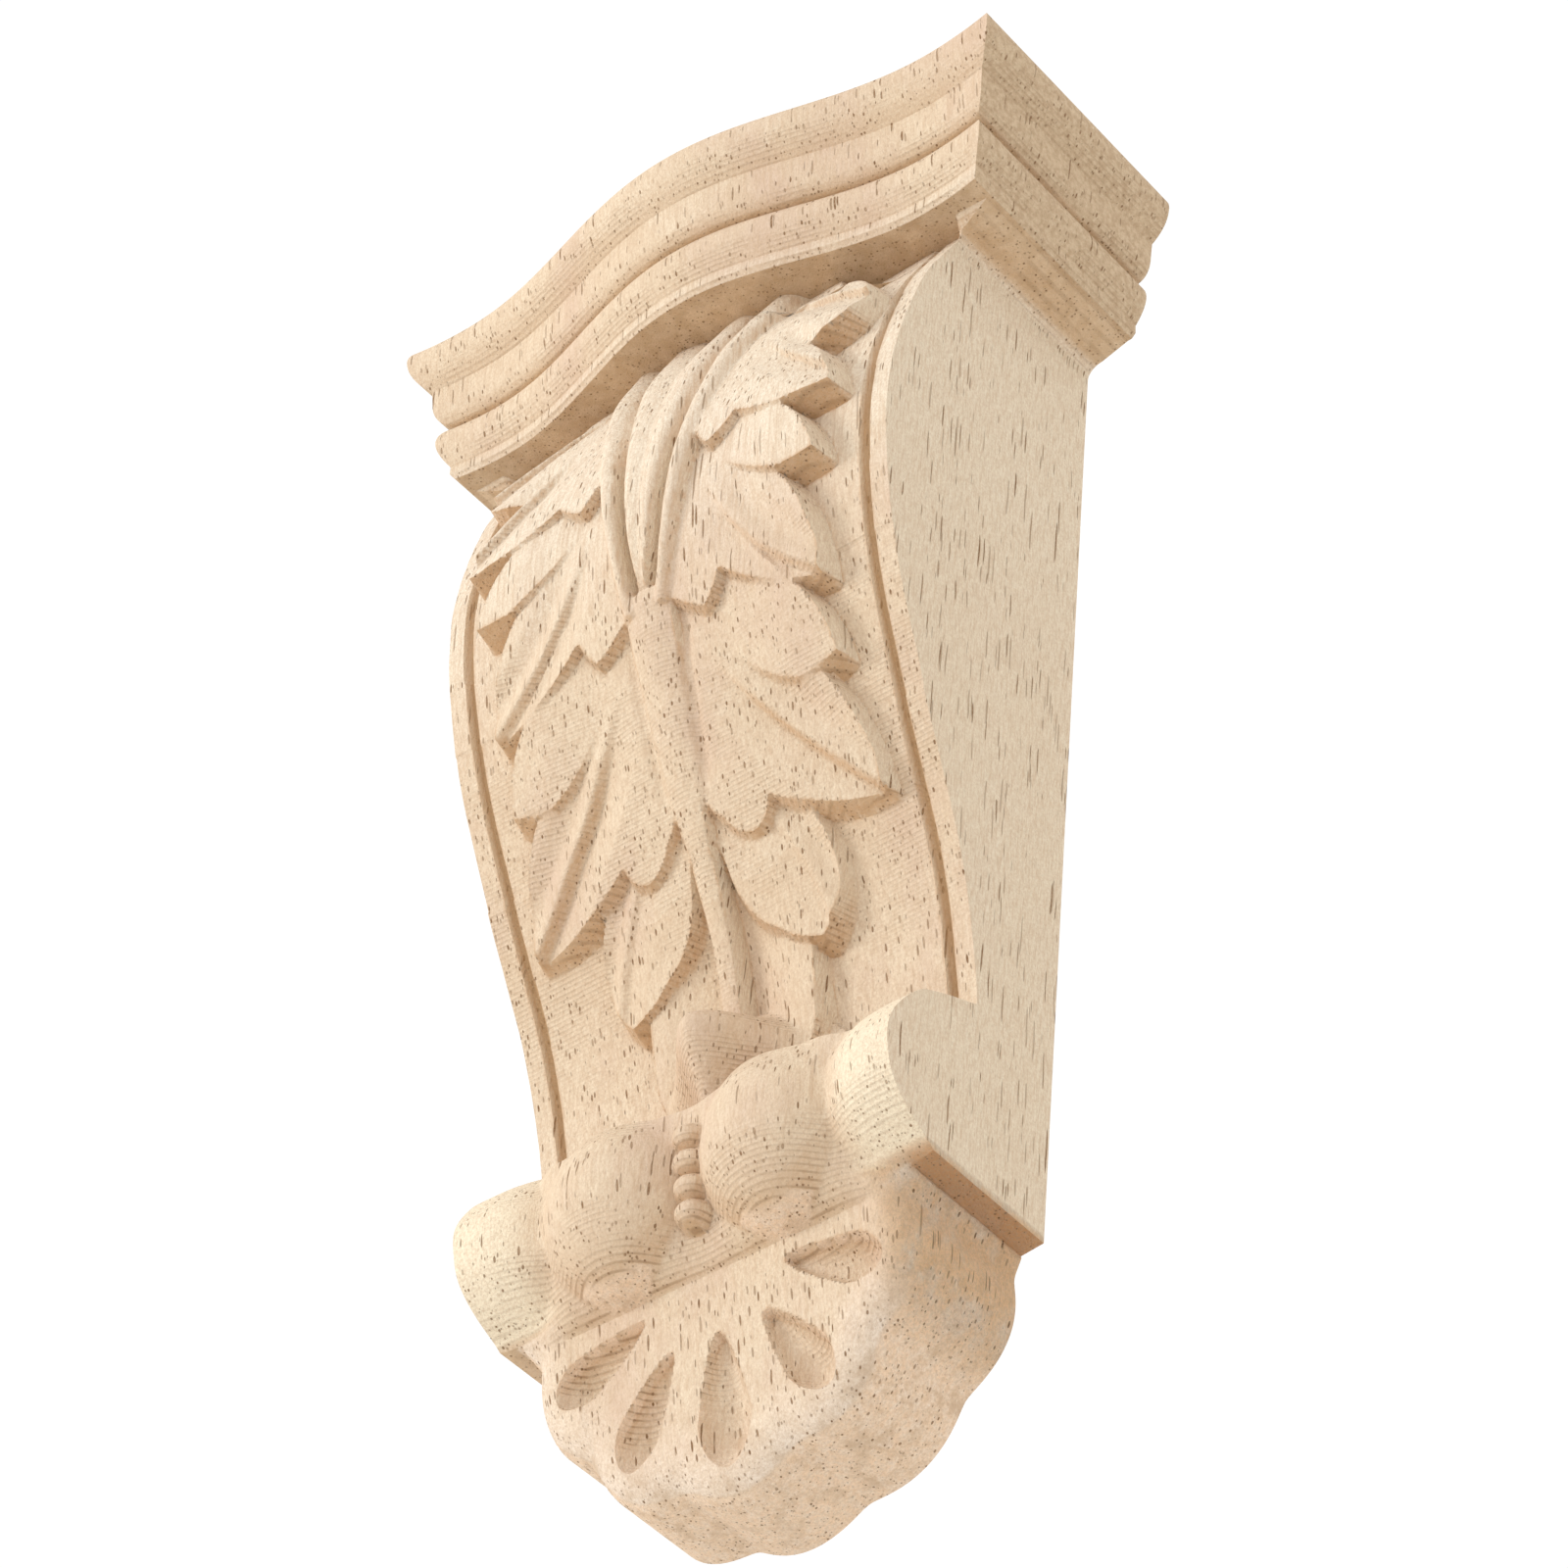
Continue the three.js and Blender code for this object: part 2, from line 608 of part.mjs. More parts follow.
function carvedFace() {
  const face = new Facing(BOARD.x, BOARD.top, BOARD.bottom);
  // Both lips and the bottom of the groove.
  const grooveAt = (t, side) => drawnHalf(t) - (GROOVE_INSET + (side * GROOVE_WIDTH) / 2) / fitAcross(t);
  for (let t = BOARD.top; t < GROOVE_END; t += 2.6)
    for (const side of [-1, 0, 1]) face.add(grooveAt(t, side), t, 0.1);
  const inGroove = (x, t) => t < GROOVE_END && Math.abs(x - grooveAt(t, 0)) < GROOVE_WIDTH;
  // Top and bottom of the cut edge of each tier.
  for (const tier of TIERS) {
    const path = new THREE.Path(tier.outline);
    const edge = path.getSpacedPoints(Math.round(path.getLength() / 2.2));
    edge.forEach((p, i) => {
      const a = edge[Math.max(i - 1, 0)];
      const b = edge[Math.min(i + 1, edge.length - 1)];
      const length = Math.hypot(b.x - a.x, b.y - a.y);
      const out = [(-LEAF_DRAFT * (b.y - a.y)) / length, (LEAF_DRAFT * (b.x - a.x)) / length];
      face.add(p.x, p.y, 0.5);
      face.add(p.x + out[0], p.y + out[1], 0.5);
    });
  }
  // Rim and valley of each drop in the shell.
  for (const flute of FLUTES) {
    const [dx, dt] = flute.along;
    for (let i = 0; i <= 8; i += 1) {
      const u = mix(0.3, flute.length - 0.15, i / 8);
      for (const v of [-1, 0, 1].map((side) => side * fluteHalf(flute, u)))
        face.add(flute.tip[0] + u * dx + v * dt, flute.tip[1] + u * dt - v * dx, 0.5);
    }
  }
  for (let pass = 0; pass < 14; pass += 1) {
    const spots = face.worst(FACE_TOLERANCE, 0.5).filter(([, x, t]) => !inGroove(x, t));
    if (!spots.length) break;
    spots.forEach(([, x, t], i) => {
      face.add(x + 0.04 * Math.sin(i * 12.9), t + 0.04 * Math.cos(i * 7.7), FACE_GAP);
    });
  }
  return face;
}

const wasm = await Module();
wasm.setup();

function solidOf(geometry) {
  const plain = geometry.index ? geometry.toNonIndexed() : geometry.clone();
  plain.deleteAttribute("normal");
  plain.deleteAttribute("uv");
  const merged = mergeVertices(plain, 1e-4);
  return new wasm.Manifold(
    new wasm.Mesh({
      numProp: 3,
      vertProperties: merged.attributes.position.array,
      triVerts: new Uint32Array(merged.index.array),
    }),
  );
}

function geometryOf(solid) {
  const mesh = solid.getMesh();
  const geometry = new THREE.BufferGeometry();
  geometry.setAttribute("position", new THREE.BufferAttribute(new Float32Array(mesh.vertProperties), 3));
  geometry.setIndex(new THREE.BufferAttribute(new Uint32Array(mesh.triVerts), 1));
  geometry.computeVertexNormals();
  return geometry;
}

// Closed block whose front is the carved face; its back lies behind the wall face.
function carvedBlock() {
  const face = carvedFace();
  const behind = 5;
  const front = face.points.map(({ x, t, h }) => [x * fitAcross(t), -h * FIT_OUT, TOP_Z - fitDown(t)]);
  const positions = [];
  const put = (...corners) => corners.forEach((c) => positions.push(...c));
  const back = ([x, , z]) => [x, behind, z];
  const mirror = ([x, y, z]) => [-x, y, z];
  const edges = new Map();
  for (const { corners } of face.triangles) {
    const [p, q, r] = corners.map((i) => face.points[i]);
    const turned = (q.x - p.x) * (r.t - p.t) - (q.t - p.t) * (r.x - p.x) > 0;
    const [a, b, c] = turned ? corners : [corners[0], corners[2], corners[1]];
    const [A, B, C] = [a, b, c].map((i) => front[i]);
    put(A, C, B, mirror(A), mirror(B), mirror(C));
    put(back(A), back(B), back(C), back(mirror(A)), back(mirror(C)), back(mirror(B)));
    [
      [a, b],
      [b, c],
      [c, a],
    ].forEach(([i, j]) => {
      if (!edges.delete(j + "," + i)) edges.set(i + "," + j, [i, j]);
    });
  }
  for (const [i, j] of edges.values()) {
    const [A, B] = [front[i], front[j]];
    if (A[0] === 0 && B[0] === 0) continue;
    put(A, B, back(B), A, back(B), back(A));
    put(mirror(A), back(mirror(B)), mirror(B), mirror(A), back(mirror(A)), back(mirror(B)));
  }
  const geometry = new THREE.BufferGeometry();
  geometry.setAttribute("position", new THREE.Float32BufferAttribute(positions, 3));
  return solidOf(geometry);
}

// Outline of everything below the cap, seen from the front, drawn out from the wall.
function bodyPrism() {
  const shape = new THREE.Shape();
  const ledgeZ = CAP_HEIGHT + BODY_LENGTH;
  const half = (t) => mix(BODY_WIDTH, LEDGE_WIDTH, (t - CAP_HEIGHT) / BODY_LENGTH) / 2;
  const inner = FOOT_WIDTH / 2;
  const fitX = FOOT_WIDTH / 57.2;
  const right = [];
  const coveTop = CAP_HEIGHT + SOFFIT_SLOPE_DROP * (1 - SOFFIT_COVE / SOFFIT_SLOPE_WIDTH);
  const top = CAP_HEIGHT - LISTEL_BEVEL;
  right.push([half(CAP_HEIGHT) + SOFFIT_SLOPE_WIDTH, top]);
  right.push([half(CAP_HEIGHT) + SOFFIT_SLOPE_WIDTH, CAP_HEIGHT + 0.05]);
  for (let i = 0; i <= 4; i += 1) {
    const a = (i / 4) * (Math.PI / 2);
    const t = coveTop + SOFFIT_COVE * (1 - Math.cos(a));
    right.push([half(t) + SOFFIT_COVE * (1 - Math.sin(a)), t]);
  }
  right.push([LEDGE_WIDTH / 2, ledgeZ]);
  right.push([inner, ledgeZ + 0.4]);
  for (let degrees = 84; degrees >= 0; degrees -= 2) {
    const a = THREE.MathUtils.degToRad(degrees);
    const r = shellRadius(a);
    right.push([r * Math.sin(a) * fitX, fitDown(SHELL.apex + r * Math.cos(a))]);
  }
  const left = right
    .slice(0, -1)
    .reverse()
    .map(([x, t]) => [-x, t]);
  shape.setFromPoints([...right, ...left].map(([x, t]) => new THREE.Vector2(x, TOP_Z - t)));
  shape.closePath();
  const prism = new THREE.ExtrudeGeometry(shape, { depth: 2 * BELLY_DEPTH, bevelEnabled: false });
  prism.rotateX(Math.PI / 2);
  return solidOf(prism);
}

function bowDepth(x) {
  const low = BOW_SPAN / 2;
  const ax = Math.abs(x);
  if (ax < low) return CAP_DEPTH + (BOW_RISE / 2) * (1 + Math.cos((Math.PI * ax) / low));
  return CAP_DEPTH + CORNER_FLICK * ((ax - low) / (CAP_WIDTH / 2 - low)) ** 2;
}

// Section of the cap: steps in from the edge against depths below the top.
function capSection() {
  const fascia = FASCIA_HEIGHT;
  const fillet = fascia + FILLET_HEIGHT;
  const cove = fillet + COVE_HEIGHT;
  const torus = cove + TORUS_HEIGHT;
  const listel = torus + LISTEL_HEIGHT;
  const section = new THREE.Path();
  section.moveTo(TOP_ROUND, 0);
  section.quadraticCurveTo(0, 0, 0, TOP_ROUND);
  section.quadraticCurveTo(0.2, fascia * 0.75, FASCIA_STEP, fascia);
  section.lineTo(FASCIA_STEP + 0.2, fillet);
  section.quadraticCurveTo(FASCIA_STEP + 0.3, cove, FASCIA_STEP + COVE_STEP, cove);
  section.quadraticCurveTo(
    FASCIA_STEP + COVE_STEP - 2 * TORUS_BULGE,
    cove + TORUS_HEIGHT * 0.35,
    FASCIA_STEP + COVE_STEP - 0.2,
    torus,
  );
  section.lineTo(FASCIA_STEP + COVE_STEP - 0.1, listel);
  section.lineTo(FASCIA_STEP + COVE_STEP - 0.1 + LISTEL_BEVEL, listel + LISTEL_BEVEL);
  return section.getPoints(5).filter((p, i, all) => !i || p.distanceTo(all[i - 1]) > 1e-6);
}

function capSolid() {
  const half = CAP_WIDTH / 2;
  const rings = capSection().map(({ x: inset, y: down }) => {
    const ring = [[half - inset, 0, TOP_Z - down]];
    for (let i = 0; i <= BOW_STEPS; i += 1) {
      const x = half * (1 - (2 * i) / BOW_STEPS);
      ring.push([(x * (half - inset)) / half, inset - bowDepth(x), TOP_Z - down]);
    }
    ring.push([inset - half, 0, TOP_Z - down]);
    return ring;
  });
  const positions = [];
  const put = (...corners) => corners.forEach((c) => positions.push(...c));
  for (let k = 0; k + 1 < rings.length; k += 1)
    rings[k].forEach((a, i) => {
      const next = (i + 1) % rings[k].length;
      const b = rings[k][next];
      const c = rings[k + 1][next];
      const d = rings[k + 1][i];
      put(a, b, c, a, c, d);
    });
  const lid = (ring, up) =>
    THREE.ShapeUtils.triangulateShape(
      ring.map(([x, y]) => new THREE.Vector2(x, y)),
      [],
    ).forEach(([a, b, c]) => (up ? put(ring[a], ring[b], ring[c]) : put(ring[a], ring[c], ring[b])));
  const turned = THREE.ShapeUtils.isClockWise(rings[0].map(([x, y]) => new THREE.Vector2(x, y)));
  lid(rings[0], turned);
  lid(rings[rings.length - 1], !turned);
  const geometry = new THREE.BufferGeometry();
  geometry.setAttribute("position", new THREE.Float32BufferAttribute(positions, 3));
  return solidOf(geometry);
}

const body = carvedBlock().intersect(bodyPrism());
const corbel = new THREE.Mesh(geometryOf(body.add(capSolid())), WOOD);
corbel.name = "corbel";

const group = new THREE.Group();
group.add(corbel);

export default group;
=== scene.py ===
"""A carved wooden corbel of bare rubberwood, seen from below against white."""

import math

import bpy
import numpy as np
from mathutils import Matrix, Vector


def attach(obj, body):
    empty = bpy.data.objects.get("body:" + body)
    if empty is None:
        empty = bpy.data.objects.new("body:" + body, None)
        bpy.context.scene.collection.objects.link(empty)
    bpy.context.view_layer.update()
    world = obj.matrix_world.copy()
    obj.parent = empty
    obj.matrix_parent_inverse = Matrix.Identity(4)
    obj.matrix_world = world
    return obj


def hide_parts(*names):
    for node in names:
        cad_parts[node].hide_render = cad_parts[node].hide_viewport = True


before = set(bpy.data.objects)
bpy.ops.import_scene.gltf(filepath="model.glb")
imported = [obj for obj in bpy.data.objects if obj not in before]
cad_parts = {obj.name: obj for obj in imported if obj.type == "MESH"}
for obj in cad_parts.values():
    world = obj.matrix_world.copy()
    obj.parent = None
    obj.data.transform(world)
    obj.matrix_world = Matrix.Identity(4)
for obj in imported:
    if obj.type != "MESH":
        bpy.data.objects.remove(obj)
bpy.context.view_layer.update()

bl_info = {
    "name": "Carved Wooden Corbel",
    "version": (1, 0, 0),
    "blender": (4, 5, 0),
    "location": "3D View > Sidebar > Corbel",
    "description": "Carves a wooden corbel with a moulded cap, an acanthus leaf and a shell foot",
    "category": "Add Mesh",
}

MM = 0.001
WALL_BACK = 4.0  # how far the uncut block reaches behind the wall face, in mm

# The carving is laid out on a drawing of the face, in millimetres: x from the middle line,
# t down from the top and h out from the wall. Both halves are alike.
SOFFIT = 24.3
LEDGE = 168.3
FOOT_END = 197.1
TOP_Z = FOOT_END / 2
BODY_WIDTH = (73.9, 63.6)  # at the soffit and at the ledge
EYE = 79.0  # where the stems end and the middle rib begins
STEM_START = 20
GROOVE_END = 145
SHELL_START = 150  # from here down, the ground is the plane of the shell

# The body flares out under the cap.
FLARE = {"out": 6.2, "drop": 2.0, "round": 2.2, "end": 26.5, "slope": 1.5, "run": 1.2}

# Curves are knots (place, value) along t.
GROUND = [
    (14, 21), (24.3, 26.8), (40, 34.4), (62, 38.7), (84, 35.6),
    (104, 27.8), (124, 18.7), (143, 14.2), (170, 12),
]

# Tiers of the leaf. A corner is (x, t) or (x, t, bulge of the side after it). The height goes
# from the first to the second value over the rise, which runs along t, or along x where it is
# measured to the side. A fold is its crest, its step down, the step's reach, the dip on its
# other side and the dip's reach.
TIERS = [
    {
        "corners": [
            (-1, 56), (6.8, 52.8, 0.5), (10.3, 60, 0.3), (14.3, 56.4, 1.3), (29.2, 60, 1.1),
            (23.2, 47.4, 0.5), (29.4, 45.4, 0.3), (31, 40, 1.0), (22, 29), (16, 16), (-1, 16),
        ],
        "rise": (20, 56),
        "side": False,
        "height": (3.3, 4.7),
        "folds": [
            ([(12, 26), (20, 32), (30.5, 40.5)], 1.2, 4.5, 0.6, 5),
            ([(15, 40), (20, 48), (29, 57)], 1.1, 4.5, 0.8, 5),
        ],
    },
    {
        "corners": [
            (8, 60), (12.5, 63.6, 0.5), (21, 70.4, 0.2), (27, 70.4, 0.8), (22.3, 60.5), (15, 50), (8, 50),
        ],
        "rise": (9, 20),
        "side": True,
        "height": (3.0, 4.3),
        "folds": [],
    },
    {
        "corners": [
            (-1, 78.6), (2.6, 79.6, 0.4), (8.6, 84.6, 0.3), (11.2, 80, 1.5),
            (25.6, 87.4, 1.4), (21, 70.6), (14, 50), (-1, 50),
        ],
        "rise": (56, 85),
        "side": False,
        "height": (3.0, 3.9),
        "folds": [([(9, 62), (13, 78), (25.4, 87)], 1.1, 4.5, 0.9, 6)],
    },
    {
        "corners": [
            (8, 86), (12, 92.5, 0.6), (19.3, 98.4, 0.3), (25.4, 97.4, 1.0), (21, 86.5), (14, 76), (8, 76),
        ],
        "rise": (9, 19),
        "side": True,
        "height": (2.2, 3.3),
        "folds": [],
    },
    {
        "corners": [
            (-1, 104.5), (1.8, 105.2, 0.3), (4.6, 109.6, 0.6), (8.2, 112.4, 0.8), (11.2, 109.0, 1.4),
            (26.8, 114.2, 1.3), (22, 98), (13, 76), (-1, 76),
        ],
        "rise": (80, 112),
        "side": False,
        "height": (2.2, 3.2),
        "folds": [([(6, 87), (14.5, 102.5), (27, 114.2)], 1.5, 5.5, 0.8, 6)],
    },
    {
        "corners": [
            (1.6, 107), (3.2, 116.5, 0.9), (8.6, 124.4, 0.7), (14.6, 127.8, 0.9),
            (17.8, 119.5, 0.5), (15.8, 112), (8, 100), (1.6, 100),
        ],
        "rise": (104, 127),
        "side": False,
        "height": (1.3, 3.7),
        "folds": [([(6, 106), (14, 113), (16.2, 127)], 0.5, 4, 0.8, 5)],
    },
]

STEMS = [
    {
        "middle": [(20, 5.4), (50, 2.6), (70, 1.2), (78, 0.4)],
        "half": [(20, 3.5), (50, 2.6), (70, 1.3), (78, 0.5)],
        "share": (1.0, 0.74),  # of the stems' relief, at the top and at the end
        "inner": 2.2,  # the side towards the middle is wider by this factor
    },
    {
        "middle": [(20, 12.2), (50, 7.3), (70, 4.3), (82, 2.3)],
        "half": [(20, 3.6), (50, 2.5), (70, 1.7), (82, 1.6)],
        "share": (0.95, 0.74),
        "inner": 1.2,
    },
]
STEM_VALLEY = {
    "middle": [(40, 5.9), (50, 4.9), (70, 2.7), (77.5, 1.6)],
    "width": 0.55,
    "depth": 1.8,
    "grows": (42, 60),
    "fades": (76.5, 78.5),
}

RIB = {
    "half": [(76, 3.9), (84, 3.5), (100, 2.7), (107, 2.2), (113, 1.6), (138, 1.4)],
    "height": [(76, 5.0), (84, 4.4), (92, 3.7), (104, 3.7), (115, 3.6), (130, 3.5), (138, 3.4)],
    "first_height": 5.0,
    "crown": (1.1, 0.35),  # lower at its edges by this, at the top and at the end
    "flattens": (80, 108),
    "draft": 0.5,
    "grows": (EYE - 8, EYE + 1),
    "fades": (134, 139),
}
RIB_VALLEY = {"off": 0.9, "width": 0.6, "depth": 0.4, "grows": (82, 86), "fades": (102, 106)}

TONGUE = {
    "top": 104,
    "end": 154,
    "closes": (147, 151),
    "half": [(108, 3), (116, 9), (124, 12), (134, 12.2), (140, 11.2), (146, 7), (151, 3)],
    "middle": 0.5,
    "rim": [(104, 0.8), (118, 1.8), (130, 3.0), (141, 3.3), (151, 3)],
    "hollow": (1.5, 11),
    "draft": 0.8,
    "blend": 0.8,
}
CURL = {
    "start": 131.5,
    "rise": [
        (131.5, 0), (133.6, 3.5), (135.6, 9.0), (137.4, 11.6), (139.5, 12.0),
        (143, 10.8), (146.5, 9.3), (150.5, 8.4), (154, 8),
    ],
    "half": [(129, 8), (138, 8.0), (144, 6.2), (150, 4.2), (154, 3.4)],
    "ground": 0.8,
    "lag": 0.035,  # the lip bends back by this times x squared
    "power": 1.7,
}

EAR = {
    "top": 143.2,
    "start": 15,
    "side": [
        (143.2, 13.9), (144.6, 17.5), (146.3, 21.3), (148, 24.4), (151.8, 27.6),
        (156, 29.5), (160, 29.2), (163, 28), (165.5, 25.3), (168.3, 20),
    ],
    "flat": 3,
    "floor": 16,
    "crease": 21.5,
    "hollow": 0.2,
    "fall": 0.9,
    "blend": 1.0,
}
BAND = {"t": 158.6, "half_t": 11.8, "relief": 4.2, "middle": 0.6, "grows": (0, 8), "fades": (19, 27)}
BALL = {"x": 11.6, "t": 158.4, "ground": 20.2, "half_x": 10.9, "half_t": 12.0, "blend": 2.2}
BEAD = {
    "first": 154.8,
    "pitch": 3.4,
    "count": 4,
    "ground": 24.9,
    "drop": 0.45,
    "half_x": 2.3,
    "half_t": 1.8,
    "blend": 0.5,
}

# Shell: a plane that leans back towards the foot, with a scalloped rim around an apex.
SHELL = {
    "apex": 166.0,
    "face": 20.3,
    "lean": 0.2,
    "radius": 29.1,
    "scallop": 2.0,
    "scallop_angle": 31.5,
    "sweep": 84,  # degrees from straight down to the rim's upper end
    "drawn_in": 0.045,
    "softness": 0.03,
    "upper_corner": 28.6,
}
# A flute is a drop: its tip, its end and its half width.
FLUTES = [
    ((0, 178.1), (0, 194.4), 3.8),
    ((6.7, 178.1), (14.8, 189.8), 3.2),
    ((10.3, 173.0), (23.6, 178.2), 3.0),
]
FLUTE_END = 1.6  # length of the round end as a share of the half width

# The uncut block is wider than the body, most of all under the cap.
BLOCK = {"top": 19.0, "bottom": 199.5, "width": 76, "wide_end": 29.5, "wide": 8.5, "narrow": 1.5}
BLOCK_DEPTH = 75

CAP_HALF = 50
CAP_DEPTH = 39
BOW = {"half": 40, "rise": 6.9, "end_rise": 0.8}

# Levels between which the wood changes its tone and the ears take painted light, in mm above the middle
# of the corbel.
LEVELS = {
    "bleached from": (10.0, 45.0),
    "bleached to": (78.0, 72.0),
    "ear from": (-46.0, -52.0),
    "ear to": (-69.8, -69.2),
    "foot from": (-70.0, -70.3),
    "torn from": (-68.5, -69.7),
    "torn to": (-92.0, -80.0),
    "ledge to": (-71.0, -70.2),
}

# Viewing angle of the picture: below the corbel and to its right. Angles are in radians, and
# places are in tenths of a metre.
VIEW_AZIMUTH = 0.72158143
VIEW_ELEVATION = 0.75531128
VIEW_ROLL = 0.06296162
VIEW_DISTANCE = 7.25649133
VIEW_SHIFT = (-0.12191398, -0.57771914)
VIEW_UNIT = 0.1
PICTURE_WIDTH = 1600  # in pixels
FOCAL_LENGTH = 5399.37096  # in pixels
SENSOR_WIDTH = 36


# reading curves


def ramp(value, low, high):
    return np.clip((value - low) / (high - low), 0.0, 1.0)


def smooth(value, low, high):
    s = ramp(value, low, high)
    return s * s * (3 - 2 * s)


def mix(a, b, share):
    return a + (b - a) * share


def dome(q):
    return np.sqrt(np.clip(q, 0.0, 1.0))


def smooth_max(a, b, blend):
    near = np.maximum(blend - np.abs(a - b), 0.0)
    return np.maximum(a, b) + near * near / (4 * blend)


def knotted(knots, at):
    """Smooth curve through knots (position, value), read at an array of positions."""
    where = np.array([k[0] for k in knots], float)
    value = np.array([k[1] for k in knots], float)
    last = len(knots) - 1
    before = np.maximum(np.arange(last + 1) - 1, 0)
    after = np.minimum(np.arange(last + 1) + 1, last)
    slope = (value[after] - value[before]) / (where[after] - where[before])
    t = np.clip(at, where[0], where[-1])
    i = np.clip(np.searchsorted(where, t, side="left") - 1, 0, last - 1)
    run = where[i + 1] - where[i]
    s = (t - where[i]) / run
    return (
        value[i] * (2 * s**3 - 3 * s**2 + 1)
        + slope[i] * run * (s**3 - 2 * s**2 + s)
        + value[i + 1] * (3 * s**2 - 2 * s**3)
        + slope[i + 1] * run * (s**3 - s**2)
    )


def half_width(t):
    return mix(*BODY_WIDTH, (t - SOFFIT) / (LEDGE - SOFFIT)) / 2


def stroke_points(points, steps=16):
    p = np.array(points, float)
    s = np.linspace(0, 1, steps + 1)[:, None]
    if len(p) == 2:
        return p[0] * (1 - s) + p[1] * s
    return p[0] * (1 - s) ** 2 + 2 * p[1] * s * (1 - s) + p[2] * s**2


def along_stroke(stroke, x, t):
    """Share of the way along a stroke, and the distance from it, positive above it."""
    best = np.full(x.shape, np.inf)
    at = np.zeros(x.shape)
    above = np.ones(x.shape)
    for i, (a, b) in enumerate(zip(stroke[:-1], stroke[1:])):
        dx, dt = b - a
        u = np.clip(((x - a[0]) * dx + (t - a[1]) * dt) / (dx * dx + dt * dt), 0, 1)
        d = np.hypot(x - a[0] - u * dx, t - a[1] - u * dt)
        nearer = d < best
        best = np.where(nearer, d, best)
        at = np.where(nearer, (i + u) / (len(stroke) - 1), at)
        above = np.where(nearer, np.where(dx * (t - a[1]) - dt * (x - a[0]) > 0, -1.0, 1.0), above)
    return at, above * best


def outline_points(corners, steps=8):
    """Outline through corners (x, t, bulge); each side bulges out by its corner's bulge."""
    points = []
    for i, corner in enumerate(corners):
        x0, t0 = corner[:2]
        x1, t1 = corners[(i + 1) % len(corners)][:2]
        bulge = corner[2] if len(corner) > 2 else 0.0
        if not bulge:
            points.append((x0, t0))
            continue
        length = math.hypot(x1 - x0, t1 - t0)
        middle_x = (x0 + x1) / 2 - 2 * bulge * (t1 - t0) / length
        middle_t = (t0 + t1) / 2 + 2 * bulge * (x1 - x0) / length
        side = stroke_points([(x0, t0), (middle_x, middle_t), (x1, t1)], steps)
        points += [tuple(p) for p in side[:-1]]
    return np.array(points)


def inset(outline, x, t):
    """Distance to an outline, positive inside."""
    best = np.full(x.shape, np.inf)
    inside = np.zeros(x.shape, bool)
    for a, b in zip(outline, np.roll(outline, -1, axis=0)):
        dx, dt = b - a
        u = np.clip(((x - a[0]) * dx + (t - a[1]) * dt) / max(dx * dx + dt * dt, 1e-9), 0, 1)
        best = np.minimum(best, np.hypot(x - a[0] - u * dx, t - a[1] - u * dt))
        if dt:
            inside ^= ((a[1] > t) != (b[1] > t)) & (x < dx * (t - a[1]) / dt + a[0])
    return np.where(inside, best, -best)


def unevenness(x, z, pitch, seed):
    """Soft random field over x and z, about -1 to 1, with bumps about one pitch apart."""
    wide, tall = 64, 128
    rng = np.random.default_rng(seed)
    grid = rng.uniform(-1, 1, (wide, tall))
    u = (x / pitch) % wide
    v = (z / pitch) % tall
    i, j = np.floor(u).astype(int), np.floor(v).astype(int)
    fu, fv = u - i, v - j
    fu, fv = fu * fu * (3 - 2 * fu), fv * fv * (3 - 2 * fv)
    i1, j1 = (i + 1) % wide, (j + 1) % tall
    i, j = i % wide, j % tall
    first = grid[i, j] * (1 - fu) + grid[i1, j] * fu
    second = grid[i, j1] * (1 - fu) + grid[i1, j1] * fu
    return first * (1 - fv) + second * fv


# the carved face


def tier_height(tier, x, t, draft):
    edge = inset(outline_points(tier["corners"]), x, t)
    h = mix(*tier["height"], ramp(x if tier["side"] else t, *tier["rise"]))
    for crest, step, reach, dip, dip_reach in tier["folds"]:
        at, off = along_stroke(stroke_points(crest), x, t)
        grown = smooth(at, 0, 0.5)
        low = step * ramp(-off, 0, 0.7) * (1 - ramp(-off, 0.7, reach))
        high = dip * smooth(off, 0, dip_reach / 2) * (1 - smooth(off, dip_reach / 2, dip_reach))
        h = h - grown * np.where(off < 0, low, high)
    return np.maximum(h, 0) * np.clip(edge / draft + 1, 0, 1)


def stem_height(stem, x, t, relief):
    off = x - knotted(stem["middle"], t)
    q = off / knotted(stem["half"], t) / np.where(off < 0, stem["inner"], 1)
    end = stem["middle"][-1][0]
    height = relief * mix(*stem["share"], ramp(t, STEM_START, end)) * (1 - smooth(t, end - 1, EYE + 4))
    return height * dome(1 - q * q) ** 0.9


def rib_height(x, t, relief):
    """Middle rib, a crisp bar that grows out of the stems and stands free on the tongue."""
    half = knotted(RIB["half"], t)
    crown = mix(*RIB["crown"], ramp(t, *RIB["flattens"])) * (x / half) ** 2
    top = knotted(RIB["height"], t) * relief / RIB["first_height"] - crown
    edge = np.clip((half - x) / RIB["draft"] + 1, 0, 1)
    return top * edge * smooth(t, *RIB["grows"]) * (1 - smooth(t, *RIB["fades"]))


def valley_depth(valley, off, t):
    """Depth of a rounded valley at a distance off its middle."""
    shape = np.exp(-((off / valley["width"]) ** 2))
    return valley["depth"] * (shape * smooth(t, *valley["grows"]) * (1 - smooth(t, *valley["fades"])))


